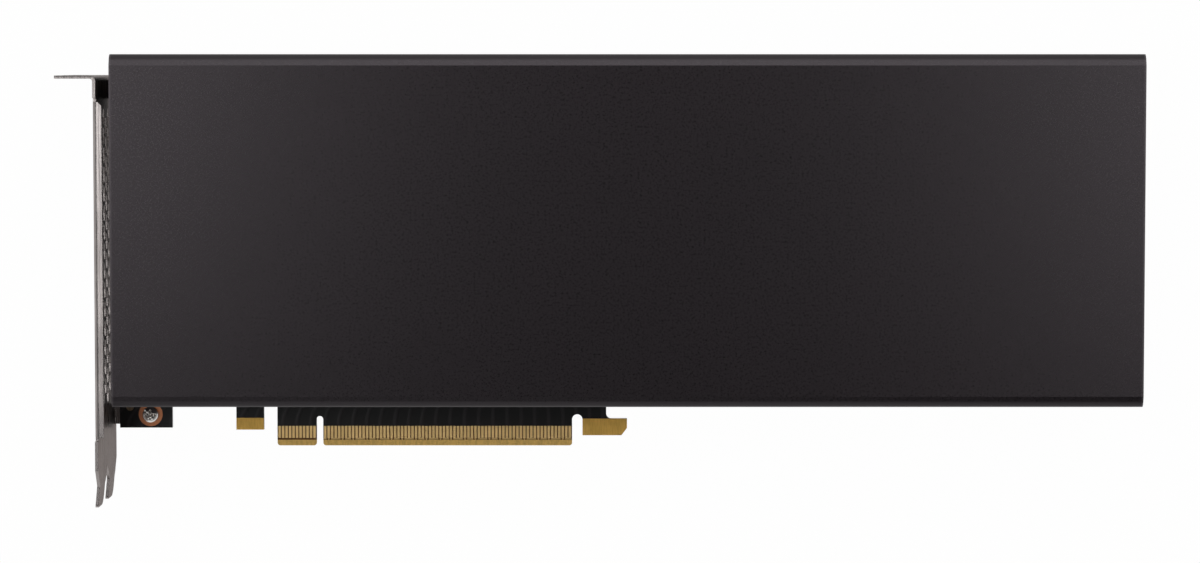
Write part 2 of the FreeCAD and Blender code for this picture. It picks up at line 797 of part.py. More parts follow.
def make_heat_sink():
    """Base and fins in one piece, with steps down to the chips and bosses down to the board."""
    body = new_body("heat_sink")
    base = rectangle("-sink_left", "sink_low", "sink_right", "sink_high")
    pad(body, outline(body, "XY_Plane", [base], "sink_base_low"), "sink_base_thick")
    fin = rectangle("-sink_left", "sink_low", "sink_right", "sink_low + fin_thick")
    fin_high = "front_in - fin_top_clear - sink_base_top"
    first = pad(body, outline(body, "XY_Plane", [fin], "sink_base_top"), fin_high)
    pattern(body, [first], "Y_Axis", "fin_count", "(sink_high - sink_low - fin_thick) / (fin_count - 1)")
    pedestal = rectangle("chip_x - lid_side / 2", "chip_y - lid_side / 2",
                         "chip_x + lid_side / 2", "chip_y + lid_side / 2")
    under = outline(body, "XY_Plane", [pedestal], "sink_base_low")
    pad(body, under, "sink_base_low - lid_top - paste_thick", down=True)
    steps = [
        column_step("memory_left", "memory_long", "memory_wide"),
        column_step("memory_left + memory_spacing", "memory_long", "memory_wide"),
        column_step("stage_left", "stage_long", "stage_wide"),
    ]
    for step in steps:
        under = outline(body, "XY_Plane", [step], "sink_base_low")
        pad(body, under, "sink_base_low - chip_step_high", down=True)
    screws = hold_spots() + fix_spots()
    bosses = circles(body, "XY_Plane", screws, "boss_radius", "sink_base_low")
    pad(body, bosses, "sink_base_low", down=True)
    pocket(body, circles(body, "XY_Plane", screws, "fix_hole"), "tap_depth + tap_spare", up=True)
    deep = "side_screw_long - shroud_wall - sink_side_clear + tap_spare"
    pocket(body, circles(body, "XZ_Plane", side_spots(), "fix_hole", "-(sink_low)"), deep)
    pocket(body, circles(body, "XZ_Plane", side_spots(), "fix_hole", "-(sink_high)"), deep, up=True)


def column_step(left, long_side, wide_side):
    """The area of the heat sink's step over one column of chips."""
    high = "column_low + (column_count - 1) * column_pitch + %s + step_margin" % wide_side
    return rectangle("%s - step_margin" % left, "column_low - step_margin",
                     "%s + %s + step_margin" % (left, long_side), high)


def make_column(label, left, sides, height, second=None):
    """A column of equal rectangular pieces up the board, or several such columns."""
    body = new_body(label, separate=True)
    corners = rectangle(left, "column_low", "%s + %s" % (left, sides[0]), "column_low + %s" % sides[1])
    first = pad(body, outline(body, "XY_Plane", [corners], height), sides[2])
    pattern(body, [first], "Y_Axis", "column_count", "column_pitch", second)


def make_processor():
    """Processor package: substrate, stepped metal lid and the paste under the heat sink."""
    corner = "chip_%s - substrate_side / 2"
    block("processor_substrate", (corner % "x", corner % "y", "0"),
          ("substrate_side", "substrate_side", "substrate_thick"))
    lid = new_body("processor_lid")
    low = "substrate_thick"
    for side, thick in (("lid_flange_side", "lid_flange_thick"), ("lid_side", "lid_thick")):
        square = rectangle("chip_x - %s / 2" % side, "chip_y - %s / 2" % side,
                           "chip_x + %s / 2" % side, "chip_y + %s / 2" % side)
        pad(lid, outline(lid, "XY_Plane", [square], low), thick)
        low = low + " + " + thick
    corner = "chip_%s - paste_side / 2"
    block("thermal_paste", (corner % "x", corner % "y", "lid_top"),
          ("paste_side", "paste_side", "paste_thick"))


def make_components():
    """The other parts soldered to the board, and the pads between them and the heat sink."""
    pair = ("X_Axis", "memory_columns", "memory_spacing")
    make_column("memory_chips", "memory_left", ("memory_long", "memory_wide", "memory_high"), "0", pair)
    make_column("memory_pads", "memory_left",
                ("memory_long", "memory_wide", "chip_step_high - memory_high"), "memory_high", pair)
    make_column("power_stages", "stage_left", ("stage_long", "stage_wide", "stage_high"), "0")
    make_column("power_stage_pads", "stage_left",
                ("stage_long", "stage_wide", "chip_step_high - stage_high"), "stage_high")
    make_column("inductors", "inductor_left", ("inductor_side", "inductor_side", "inductor_high"), "0")
    ceramics = new_body("ceramic_capacitors", separate=True)
    corners = rectangle("ceramic_left", "column_low",
                        "ceramic_left + ceramic_long", "column_low + ceramic_wide")
    first = pad(ceramics, outline(ceramics, "XY_Plane", [corners]), "ceramic_high")
    pattern(ceramics, [first], "X_Axis", "ceramic_columns", "ceramic_pitch_x",
            ("Y_Axis", "ceramic_rows", "ceramic_pitch_y"))
    block("voltage_controller", ("controller_left", "controller_low", "0"),
          ("controller_side", "controller_side", "controller_high"))
    block("management_chip", ("-manager_left", "manager_low", "0"),
          ("manager_side", "manager_side", "manager_high"))
    block("flash_chip", ("-manager_left", "flash_low", "0"), ("flash_long", "flash_wide", "flash_high"))
    block("clock_oscillator", ("-manager_left", "clock_low", "0"),
          ("clock_long", "clock_wide", "clock_high"))


def make_bulk_capacitors():
    """A row of capacitor cans on square feet, in the air inlet behind the heat sink."""
    body = new_body("bulk_capacitors", separate=True)
    square = rectangle("bulk_left", "bulk_low", "bulk_left + bulk_foot", "bulk_low + bulk_foot")
    foot = pad(body, outline(body, "XY_Plane", [square]), "bulk_foot_high")
    middle = ("bulk_left + bulk_foot / 2", "bulk_low + bulk_foot / 2")
    can = circles(body, "XY_Plane", [middle], "bulk_radius", "bulk_foot_high")
    can = pad(body, can, "bulk_high - bulk_foot_high")
    pattern(body, [foot, can], "Y_Axis", "bulk_count", "bulk_pitch")


def make_power_connector():
    """The power connector's housing with its cells, and the pins that stand in them."""
    body = new_body("power_connector")
    shell = rectangle("plug_low", "0", "plug_low + plug_width", "plug_height")
    pad(body, outline(body, "YZ_Plane", [shell], "plug_back"), "plug_long")
    middle = "plug_low + plug_width / 2"
    latch = rectangle("%s - plug_latch_width / 2" % middle, "plug_height",
                      "%s + plug_latch_width / 2" % middle, "plug_height + plug_latch_high")
    pad(body, outline(body, "YZ_Plane", [latch], "plug_front - plug_latch_long"), "plug_latch_long")
    cell = rectangle("plug_low + plug_wall", "plug_wall",
                     "plug_low + plug_wall + plug_cell", "plug_wall + plug_cell")
    first = pocket(body, outline(body, "YZ_Plane", [cell], "plug_front"), "plug_cell_deep")
    rows = ("Z_Axis", "plug_rows", "plug_pitch")
    pattern(body, [first], "Y_Axis", "plug_across", "plug_pitch", rows)
    pins = new_body("connector_pins", separate=True)
    inset = "plug_wall + (plug_cell - plug_pin) / 2"
    section = rectangle("plug_low + " + inset, inset, "plug_low + plug_pin + " + inset, "plug_pin + " + inset)
    first = pad(pins, outline(pins, "YZ_Plane", [section], "plug_front - plug_cell_deep"), "plug_pin_long")
    pattern(pins, [first], "Y_Axis", "plug_across", "plug_pitch", rows)


def make_rear_bar():
    """The bar across the rear end, with threaded holes for an extender."""
    body = new_body("rear_bar")
    area = rectangle("bar_back", "bar_low", "bar_front", "bar_high_end")
    pad(body, outline(body, "XY_Plane", [area]), "bar_high")
    ends = [("bar_low + extender_inset", "bar_high / 2"),
            ("bar_high_end - extender_inset", "bar_high / 2")]
    pocket(body, circles(body, "YZ_Plane", ends, "extender_radius", "bar_front"), "extender_deep")
    pocket(body, circles(body, "XY_Plane", bar_spots(), "fix_hole"), "tap_depth + tap_spare", up=True)


def chip_window(side):
    """A square opening round the processor."""
    return rectangle("chip_x - (%s) / 2" % side, "chip_y - (%s) / 2" % side,
                     "chip_x + (%s) / 2" % side, "chip_y + (%s) / 2" % side)


def make_backplate():
    """The backplate that the card lies on, with a window and countersunk screw holes."""
    body = new_body("backplate")
    area = rectangle("-plate_left", "plate_low", "plate_right", "card_height")
    pad(body, outline(body, "XY_Plane", [area], "plate_inner"), "plate_thick", down=True)
    level = "plate_inner - plate_thick / 2"
    soften(body, "Fillet", [(x, y, level) for x, y in area], "plate_round")
    opening = chip_window("window_side")
    pocket(body, outline(body, "XY_Plane", [opening]))
    soften(body, "Fillet", [(x, y, level) for x, y in opening], "window_round")
    spots = fix_spots() + bar_spots()
    pocket(body, circles(body, "XY_Plane", spots, "fix_hole"))
    soften(body, "Chamfer", [(x, y, "plate_outer") for x, y in spots], "fix_sink")


def make_film():
    """The insulating sheet stuck inside the backplate."""
    body = new_body("insulating_sheet")
    area = rectangle("film_margin - plate_left", "plate_low + film_margin",
                     "plate_right - film_margin", "card_height - shroud_wall - film_margin")
    pad(body, outline(body, "XY_Plane", [area], "plate_inner"), "film_thick")
    pocket(body, outline(body, "XY_Plane", [chip_window("window_side + 2 * film_margin")]))
    spots = fix_spots() + bar_spots()
    pocket(body, circles(body, "XY_Plane", spots, "spacer_radius + spacer_clear"))


def make_spacers():
    """The spacers that hold the backplate off the board."""
    body = new_body("backplate_spacers", separate=True)
    spots = fix_spots() + bar_spots()
    pad(body, circles(body, "XY_Plane", spots, "spacer_radius", "plate_inner"), "plate_gap")
    pocket(body, circles(body, "XY_Plane", spots, "fix_hole"))


def make_retention_spring():
    """The cross-shaped spring that pulls the heat sink onto the processor."""
    body = new_body("retention_spring")
    reach = "hold_offset * sqrt(2)"
    arm = rectangle("-(%s)" % reach, "-hold_arm / 2", reach, "hold_arm / 2")
    for turn in (45, -45):
        bar = outline(body, "XY_Plane", [arm], "board_back", ("chip_x", "chip_y"), turn)
        pad(body, bar, "hold_thick", down=True)
    ends = circles(body, "XY_Plane", hold_spots(), "hold_arm / 2", "board_back")
    pad(body, ends, "hold_thick", down=True)
    hub = circles(body, "XY_Plane", [("chip_x", "chip_y")], "hold_hub", "board_back")
    pad(body, hub, "hold_thick", down=True)
    pocket(body, circles(body, "XY_Plane", hold_spots(), "fix_hole"))


def pan_screw(radius, long, head_radius, head_high, head_round):
    """A pan-headed screw on its own axis, its seat at Z = 0 and its head upwards."""
    shaft = cylinder(radius, long, z="-(%s)" % long)
    head = cylinder(head_radius, "%s - %s" % (head_high, head_round))
    crown = document.addObject("Part::Cone", "crown")
    bind(crown, "Radius1", head_radius)
    bind(crown, "Radius2", "%s - %s" % (head_radius, head_round))
    bind(crown, "Height", head_round)
    place(crown, z="%s - %s" % (head_high, head_round))
    recess = cross_recess(head_radius, "recess_deep")
    place(recess, z=head_high)
    return less(fused([shaft, head, crown]), recess)


def flat_screw(long):
    """A flat-headed screw on its own axis, its face at Z = 0 and its tip below."""
    shaft = cylinder("fix_radius", long, z="-(%s)" % long)
    head = document.addObject("Part::Cone", "head")
    bind(head, "Radius1", "fix_radius")
    bind(head, "Radius2", "fix_head_radius")
    bind(head, "Height", "fix_sink")
    place(head, z="-fix_sink")
    return less(fused([shaft, head]), cross_recess("fix_head_radius", "fix_recess"))


def make_screws():
    """Every group of screws."""
    bracket = []
    for x, y in bracket_spots():
        long = "contact_thick - foot_back"
        screw = pan_screw("bracket_screw_radius", long, "bracket_head_radius", "bracket_head_high",
                          "bracket_head_round")
        place(screw, x, y, "contact_thick")
        bracket.append(screw)
    group("bracket_screws", bracket)
    hold = []
    for x, y in hold_spots():
        long = "hold_thick + board_thick + tap_depth"
        screw = pan_screw("fix_radius", long, "hold_head_radius", "hold_head_high", "hold_head_high / 2")
        place(screw, x, y, "hold_back", turn=((1, 0, 0), 180))
        hold.append(screw)
    group("retention_screws", hold)
    back = []
    for x, y in fix_spots() + bar_spots():
        screw = flat_screw("tap_depth - plate_outer")
        place(screw, x, y, "plate_outer", turn=((1, 0, 0), 180))
        back.append(screw)
    group("backplate_screws", back)
    side = []
    for x, z in side_spots():
        for y, turn in (("card_height", -90), ("shroud_low", 90)):
            screw = flat_screw("side_screw_long")
            place(screw, x, y, z, turn=((1, 0, 0), turn))
            side.append(screw)
    group("shroud_screws", side)


def export_all():
    """Check every object and sub-part, then write one file for each sub-part."""
    document.recompute()
    for item in document.Objects:
        if "Invalid" in item.State or "Error" in item.State:
            raise RuntimeError("%s is %s" % (item.Name, item.State))
    for item in subparts:
        if item.Shape.isNull() or not item.Shape.isValid():
            raise RuntimeError("%s has no valid shape" % item.Label)
    os.makedirs("parts", exist_ok=True)
    for item in subparts:
        item.Shape.exportStep(os.path.join("parts", item.Label + ".step"))
        print("%-20s %2d solids" % (item.Label, len(item.Shape.Solids)))


fill_sheet()
make_board()
make_contacts("front_contacts", "0", down=False)
make_contacts("back_contacts", "board_back", down=True)
make_plating("small_tab_plating", rectangle("-small_tab_left", "small_tab_low",
                                            "small_right", "small_tab_low + small_tab_gold"))
make_plating("hook_plating", [("hook_start", "hook_low"), ("hook_end - hook_bevel_x", "hook_low"),
                              ("hook_end", "hook_low + hook_bevel_y"), ("hook_end", "hook_high"),
                              ("hook_start", "hook_high")])
make_copper()
make_shroud()
make_bracket()
make_heat_sink()
make_processor()
make_components()
make_bulk_capacitors()
make_power_connector()
make_rear_bar()
make_backplate()
make_film()
make_spacers()
make_retention_spring()
make_screws()
export_all()
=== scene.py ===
import math

import bmesh
import bpy
from bpy.props import FloatProperty, FloatVectorProperty, PointerProperty
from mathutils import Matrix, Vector


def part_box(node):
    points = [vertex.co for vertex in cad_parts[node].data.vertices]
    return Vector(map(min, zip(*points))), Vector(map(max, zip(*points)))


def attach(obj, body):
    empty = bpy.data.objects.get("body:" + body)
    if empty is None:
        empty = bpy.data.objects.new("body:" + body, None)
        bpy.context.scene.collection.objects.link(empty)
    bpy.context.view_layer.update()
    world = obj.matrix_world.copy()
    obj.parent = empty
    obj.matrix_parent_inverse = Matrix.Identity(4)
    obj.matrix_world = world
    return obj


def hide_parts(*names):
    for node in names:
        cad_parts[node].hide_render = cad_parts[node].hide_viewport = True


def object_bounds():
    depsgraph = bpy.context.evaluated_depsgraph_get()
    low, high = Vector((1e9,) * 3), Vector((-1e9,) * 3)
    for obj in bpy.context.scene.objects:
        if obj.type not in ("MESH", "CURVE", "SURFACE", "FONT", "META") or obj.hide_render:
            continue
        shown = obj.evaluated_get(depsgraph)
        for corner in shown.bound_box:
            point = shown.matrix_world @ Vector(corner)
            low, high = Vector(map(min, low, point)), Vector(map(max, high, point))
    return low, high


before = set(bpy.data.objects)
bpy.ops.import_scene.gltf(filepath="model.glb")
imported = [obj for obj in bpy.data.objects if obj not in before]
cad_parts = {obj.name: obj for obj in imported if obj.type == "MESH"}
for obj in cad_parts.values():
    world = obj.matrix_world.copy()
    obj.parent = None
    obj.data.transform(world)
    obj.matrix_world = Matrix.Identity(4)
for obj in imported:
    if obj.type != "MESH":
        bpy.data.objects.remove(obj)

# Passive accelerator card: a full-height, two-slot card with a closed black shroud, lying on
# its backplate. The CAD sub-parts carry most of the shape. This script gives every one of them
# its finish, swaps the round and domed small parts for finer meshes, and adds the trim that is
# too small for the solids.

bl_info = {
    "name": "Accelerator Card Looks",
    "version": (1, 0, 0),
    "blender": (4, 5, 0),
    "location": "View3D > Sidebar > Card",
    "description": "Finishes, fine pieces and studio for a passive accelerator card",
    "category": "Object",
}

CAD_BOX = [list(corner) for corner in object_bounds()]
MM = 0.001
# Round that deburring leaves on every sharp edge of sheet metal and mouldings.
EASED_EDGE = 0.25 * MM
# Vertices nearer than this are one point when a CAD sub-part is taken apart.
WELD = 0.001 * MM


def colour(label, text, value):
    """A colour setting."""
    return FloatVectorProperty(name=label, description=text, default=value, subtype="COLOR",
                               size=3, min=0.0, max=1.0)


def length(label, text, millimetres):
    """A length setting, given in millimetres and kept in metres."""
    return FloatProperty(name=label, description=text, default=millimetres * MM, min=0.0,
                         unit="LENGTH", precision=5)


def share(label, text, value):
    """A setting between nothing and all."""
    return FloatProperty(name=label, description=text, default=value, min=0.0, max=1.0,
                         subtype="FACTOR")


def amount(label, text, value):
    """A plain number setting."""
    return FloatProperty(name=label, description=text, default=value, min=0.0)


class CardColours(bpy.types.PropertyGroup):
    """Colours of the card's finishes."""

    shroud: colour("Shroud", "Blasted and dyed aluminium", (0.0082, 0.0066, 0.0076))
    mask: colour("Board mask", "Lacquer over the board's copper", (0.0032, 0.0027, 0.0030))
    laminate: colour("Bare laminate", "Board material between the contacts", (0.112, 0.043, 0.007))
    bevel: colour("Edge bevel", "Cut glass cloth on the card edge", (0.75, 0.48, 0.135))
    gold: colour("Contact gold", "Plating of the contacts", (0.95, 0.67, 0.29))
    tab_gold: colour("Tab gold", "Plating of the hook and the small tab", (0.77, 0.48, 0.12))
    core: colour("Board core", "Resin in the board's cut sides", (0.020, 0.018, 0.012))
    core_cloth: colour("Core cloth", "Glass cloth in the board's cut sides", (0.042, 0.036, 0.022))
    # Lighter colour of the shroud's cut ends: partly rubbed metal, partly a painted highlight standing in for
    # the light that the end edges catch.
    rubbed_end_and_highlight: colour("Rubbed end", "Shroud where its cut ends are rubbed", (0.10, 0.09, 0.095))
    scratch: colour("Scratch", "Fine scratches on the shroud", (0.04, 0.04, 0.04))
    copper: colour("Bare copper", "Rings under the bracket screws", (0.50, 0.20, 0.10))
    # Painted shadow: the test pad is darkened with this colour to stand in for the shroud's shadow over it.
    pad_shadow_colour: colour("Dull pad", "Test pad left under a film of flux", (0.19, 0.135, 0.085))
    nickel: colour("Nickel", "Dull plated sheet of the slot bracket", (0.39, 0.358, 0.348))
    bright_nickel: colour("Bright nickel", "Polished heads of the bracket screws", (0.86, 0.83, 0.79))
    aluminium: colour("Aluminium", "Heat sink and rear bar", (0.66, 0.66, 0.67))
    lid: colour("Nickelled copper", "Processor lid, oscillator can and spacers", (0.58, 0.56, 0.53))
    steel: colour("Spring steel", "Retention spring", (0.40, 0.39, 0.38))
    screw: colour("Black screw", "Black oxide on the small screws", (0.030, 0.029, 0.031))
    plate: colour("Backplate", "Black coated backplate", (0.018, 0.018, 0.019))
    substrate: colour("Substrate", "Green processor substrate", (0.025, 0.105, 0.050))
    package: colour("Chip package", "Moulded chip bodies", (0.022, 0.022, 0.023))
    pad: colour("Thermal pad", "Soft heat pads", (0.21, 0.33, 0.45))
    paste: colour("Thermal paste", "Grey paste on the lid", (0.32, 0.32, 0.33))
    inductor: colour("Inductor", "Pressed powder blocks", (0.085, 0.085, 0.090))
    ceramic: colour("Ceramic", "Bodies of the small capacitors", (0.36, 0.25, 0.14))
    can: colour("Can", "Drawn aluminium of the bulk capacitors", (0.70, 0.70, 0.72))
    plastic: colour("Connector", "Moulded body of the power connector", (0.014, 0.014, 0.015))
    film: colour("Film", "Clear sheet in the backplate window", (0.22, 0.22, 0.22))


class CardDetail(bpy.types.PropertyGroup):
    """Sizes of the card's surface detail and small pieces."""

    blast_grain: length("Blast grain", "Size of the blasted shroud's grain", 0.25)
    blast_depth: length("Blast depth", "Height of the blasted shroud's grain", 0.011)
    sheet_grain: length("Sheet grain", "Width of the rolling streaks on the bracket", 0.25)
    track_pitch: length("Track pitch", "Distance between the board's track ripples", 4.0)
    track_middle: length("Track middle", "Left of the middle, where the ripples stand straight", 24.0)
    track_relief: length("Track relief", "How far the tracks lift the mask", 0.020)
    lead_bar: length("Lead bar", "Height of the bars that join the contacts' feet", 0.45)
    lead_point: length("Lead point", "Length of the pointed lead-ins between the bars", 0.72)
    lead_narrow: share("Lead narrowing", "Width that a point loses on each side", 0.42)
    lead_thick: length("Lead thickness", "Gold on the bevel below the contacts", 0.03)
    bevel_lean: share("Bevel lean", "Fall of the card edge's bevel for its width", 0.227)
    head_crown: length("Head crown", "Rise of the bracket screws' domed heads", 0.95)
    recess_bar: length("Recess bar", "Width of the screws' cross recess", 0.66)
    can_groove: length("Can groove", "Depth of the capacitors' rolled groove", 0.35)
    block_round: length("Block round", "Rounding of the inductors' pressed blocks", 0.60)


# The camera's place is counted from the bracket end of the board, at the lower edge of its face.
BOARD_CORNER = (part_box("board")[0].x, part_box("board")[0].y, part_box("board")[1].z)
CAMERA_OFFSET = (0.13735, 0.11006, 1.04548)
FILM_WIDTH = 36.0


class CardStudio(bpy.types.PropertyGroup):
    """The floor, lamps and camera round the card."""

    camera_place: FloatVectorProperty(name="Camera place", description="Where the camera stands",
                                      default=[sum(parts) for parts in zip(BOARD_CORNER, CAMERA_OFFSET)],
                                      subtype="XYZ", unit="LENGTH", size=3)
    camera_tilt: FloatProperty(name="Camera tilt", description="Lean of the camera from straight down",
                               default=-0.0602, unit="ROTATION")
    camera_lens: amount("Camera lens", "Focal length over a 36 mm film width", 110.055)
    key_power: amount("Key power", "Watts of the long lamp beyond the top edge", 5.2)
    left_power: amount("Left power", "Watts of the soft box over the bracket end", 3.0)
    right_power: amount("Right power", "Watts of the soft box over the rear end", 2.6)
    low_power: amount("Low power", "Watts of the lamp beyond the contacts", 0.7)
    dome: share("Dome", "Strength of the pale surroundings", 0.55)
    ceiling: share("Ceiling", "Strength overhead, as a share of the dome's", 0.09)
    backdrop: share("Backdrop", "How plainly the white of floor and backdrop shows", 0.985)
    floor: colour("Floor", "Pale studio floor", (0.82, 0.82, 0.82))


# Shader helpers


class Wiring:
    """Adds nodes to one shader tree and joins them."""

    def __init__(self, tree):
        self.tree = tree

    def add(self, kind, **settings):
        """A new node with its options set."""
        node = self.tree.nodes.new("ShaderNode" + kind)
        for name, value in settings.items():
            setattr(node, name, value)
        return node

    def feed(self, socket, value):
        """Give a socket another node's output, or a plain value."""
        if isinstance(value, bpy.types.NodeSocket):
            self.tree.links.new(value, socket)
        elif getattr(socket, "type", "") == "RGBA" and len(value) == 3:
            socket.default_value = (*value, 1.0)
        else:
            socket.default_value = value

    def maths(self, operation, first, second=0.0, third=0.0):
        """A sum worked out at every point of the surface."""
        node = self.add("Math", operation=operation)
        for socket, value in zip(node.inputs, (first, second, third)):
            self.feed(socket, value)
        return node.outputs["Value"]

    def span(self, value, low, high, out_low=0.0, out_high=1.0, smooth=True):
        """A value spread from one range to another and kept inside it."""
        node = self.add("MapRange", interpolation_type="SMOOTHSTEP" if smooth else "LINEAR")
        numbers = (value, low, high, out_low, out_high)
        for socket, number in zip(node.inputs, numbers):
            self.feed(socket, number)
        return node.outputs["Result"]

    def inwards(self, value, low, high):
        """How far a coordinate lies inside the nearer of two limits."""
        return self.maths("MINIMUM", self.maths("SUBTRACT", value, low), self.maths("SUBTRACT", high, value))

    def mix(self, factor, first, second, blend="MIX"):
        """Two colours mixed by a mask."""
        node = self.add("Mix", data_type="RGBA", blend_type=blend)
        self.feed(node.inputs[0], factor)
        self.feed(node.inputs[6], first)
        self.feed(node.inputs[7], second)
        return node.outputs[2]

    def scaled(self, vector, size, stretch=(1.0, 1.0, 1.0)):
        """Coordinates counted in steps of a size, stretched along the axes."""
        step = self.add("VectorMath", operation="SCALE")
        self.feed(step.inputs[0], vector)
        self.feed(step.inputs["Scale"], self.maths("DIVIDE", 1.0, size))
        pull = self.add("VectorMath", operation="MULTIPLY")
        self.feed(pull.inputs[0], step.outputs["Vector"])
        self.feed(pull.inputs[1], stretch)
        return pull.outputs["Vector"]

    def noise(self, vector, scale=1.0, detail=2.0, roughness=0.5):
        """Smooth noise between nothing and one."""
        node = self.add("TexNoise", noise_dimensions="3D")
        self.feed(node.inputs["Vector"], vector)
        self.feed(node.inputs["Scale"], scale)
        self.feed(node.inputs["Detail"], detail)
        self.feed(node.inputs["Roughness"], roughness)
        return node.outputs["Fac"]

    def axes(self, vector):
        """The three coordinates of a point."""
        node = self.add("SeparateXYZ")
        self.feed(node.inputs[0], vector)
        return node.outputs


class Finish(Wiring):
    """One material: a Principled shader with its constants on its own sockets."""

    def __init__(self, name, roughness=0.5, metallic=0.0, **constants):
        self.material = bpy.data.materials.new(name)
        self.material.use_nodes = True
        super().__init__(self.material.node_tree)
        self.shader = self.tree.nodes["Principled BSDF"]
        self.shader.inputs["Roughness"].default_value = roughness
        self.shader.inputs["Metallic"].default_value = metallic
        for label, value in constants.items():
            socket = label.replace("_", " ").title().replace("Ior", "IOR")
            self.shader.inputs[socket].default_value = value
        self.where = self.add("TexCoord").outputs["Object"]

    def effect(self, name, **values):
        """Place a shared effect in this material, with this material's values."""
        node = self.add("Group", node_tree=bpy.data.node_groups[name])
        values.setdefault("vector", self.where)
        for label, value in values.items():
            self.feed(node.inputs[label.title()], value)
        return node.outputs

    def paint(self, socket, value):
        """Feed one of the shader's sockets from the pattern."""
        self.feed(self.shader.inputs[socket], value)

    def roughen(self, mask, low, high):
        """Roughness that follows a mask from one value to another."""
        self.paint("Roughness", self.span(mask, 0.0, 1.0, low, high))

    def eased(self, radius):
        """Normals that round the sharp edges, as deburring does."""
        node = self.add("Bevel", samples=6)
        self.feed(node.inputs["Radius"], radius)
        return node.outputs["Normal"]

    def relief(self, height, depth, under=None):
        """Lift the surface by a pattern, over another relief where there is one."""
        node = self.add("Bump")
        self.feed(node.inputs["Height"], height)
        self.feed(node.inputs["Distance"], depth)
        if under is not None:
            self.feed(node.inputs["Normal"], under)
        self.feed(self.shader.inputs["Normal"], node.outputs["Normal"])
        return node.outputs["Normal"]


def new_effect(name, inputs, outputs):
    """A shader node group with named sockets, ready for its nodes."""
    tree = bpy.data.node_groups.new(name, "ShaderNodeTree")
    for label, kind, value in inputs:
        socket = tree.interface.new_socket(label, in_out="INPUT", socket_type="NodeSocket" + kind)
        if value is not None:
            socket.default_value = value
    for label, kind in outputs:
        tree.interface.new_socket(label, in_out="OUTPUT", socket_type="NodeSocket" + kind)
    wires = Wiring(tree)
    source = wires.tree.nodes.new("NodeGroupInput").outputs
    target = wires.tree.nodes.new("NodeGroupOutput").inputs
    return wires, source, target


def make_grain_effect():
    """Fine even grain, as blasting, moulding and coating leave."""
    wires, given, out = new_effect(
        "Grain",
        [("Vector", "Vector", None), ("Size", "Float", 0.5 * MM), ("Contrast", "Float", 0.5)],
        [("Height", "Float"), ("Mask", "Float")])
    coarse_share = 0.35
    steps = wires.scaled(given["Vector"], given["Size"])
    fine = wires.noise(steps, scale=1.0, detail=3.0, roughness=0.6)
    coarse = wires.noise(steps, scale=0.37, detail=1.0)
    fine_part = wires.maths("MULTIPLY", fine, 1.0 - coarse_share)
    both = wires.maths("MULTIPLY_ADD", coarse, coarse_share, fine_part)
    centred = wires.maths("SUBTRACT", both, 0.5)
    mask = wires.maths("MULTIPLY_ADD", centred, wires.maths("MULTIPLY", given["Contrast"], 4.0), 0.5)
    wires.feed(out["Height"], both)
    wires.feed(out["Mask"], wires.span(mask, 0.0, 1.0, smooth=False))


def make_drift_effect():
    """Slow change from one tint to another, as between batches of dye or plating."""
    wires, given, out = new_effect(
        "Drift",
        [("Vector", "Vector", None), ("Size", "Float", 30 * MM),
         ("First", "Color", (0.5, 0.5, 0.5, 1.0)), ("Second", "Color", (0.5, 0.5, 0.5, 1.0))],
        [("Color", "Color"), ("Mask", "Float")])
    cloud = wires.noise(wires.scaled(given["Vector"], given["Size"]), detail=3.0, roughness=0.55)
    mask = wires.span(cloud, 0.3, 0.7)
    wires.feed(out["Color"], wires.mix(mask, given["First"], given["Second"]))
    wires.feed(out["Mask"], mask)


def make_streak_effect():
    """Long thin streaks along one axis, as rolling, drawing and brushing leave."""
    wires, given, out = new_effect(
        "Streaks",
        [("Vector", "Vector", None), ("Size", "Float", 0.3 * MM), ("Stretch", "Vector", (0.03, 1.0, 1.0))],
        [("Height", "Float"), ("Mask", "Float")])
    steps = wires.scaled(given["Vector"], given["Size"], given["Stretch"])
    lines = wires.noise(steps, detail=3.0, roughness=0.65)
    wires.feed(out["Height"], lines)
    wires.feed(out["Mask"], wires.span(lines, 0.34, 0.66))


def make_scuff_effect():
    """Sparse fine scratches and rubbed spots from handling."""
    wires, given, out = new_effect(
        "Scuffs",
        [("Vector", "Vector", None), ("Size", "Float", 4 * MM), ("Amount", "Float", 0.3)],
        [("Mask", "Float")])
    slant = 0.6
    steps = wires.scaled(given["Vector"], given["Size"])
    turned = wires.add("VectorRotate", rotation_type="AXIS_ANGLE")
    wires.feed(turned.inputs["Vector"], steps)
    wires.feed(turned.inputs["Angle"], slant)
    lines = wires.noise(wires.scaled(turned.outputs["Vector"], 1.0, (9.0, 0.5, 4.0)), roughness=0.6)
    patches = wires.noise(steps, scale=0.35, detail=1.0)
    thin = wires.span(lines, 0.68, 0.74)
    wide = wires.span(patches, 0.50, 0.66)
    wires.feed(out["Mask"], wires.maths("MULTIPLY", wires.maths("MULTIPLY", thin, wide), given["Amount"]))


def make_track_effect():
    """Low ripples of the copper tracks that fan out under a board's mask."""
    wires, given, out = new_effect(
        "Tracks",
        [("Vector", "Vector", None), ("Pitch", "Float", 4 * MM), ("Fan", "Float", 800.0)],
        [("Height", "Float")])
    fan_height = 7 * MM
    unevenness = 0.35
    x, y, _ = wires.axes(given["Vector"])
    rise = wires.maths("MAXIMUM", 0.0, wires.maths("MINIMUM", y, fan_height))
    spread = wires.maths("MULTIPLY_ADD", wires.maths("MULTIPLY", rise, rise), given["Fan"], 1.0)
    run = wires.maths("DIVIDE", wires.maths("MULTIPLY", x, spread), given["Pitch"])
    drift = wires.noise(wires.scaled(given["Vector"], 12 * MM), detail=1.0)
    wave = wires.maths("PINGPONG", wires.maths("MULTIPLY_ADD", drift, unevenness, run), 0.5)
    wires.feed(out["Height"], wires.span(wave, 0.03, 0.19, 1.0, 0.0))


def make_effects():
    """All the shared effects, each once."""
    for make in (make_grain_effect, make_drift_effect, make_streak_effect, make_scuff_effect,
                 make_track_effect):
        make()


# Finishes


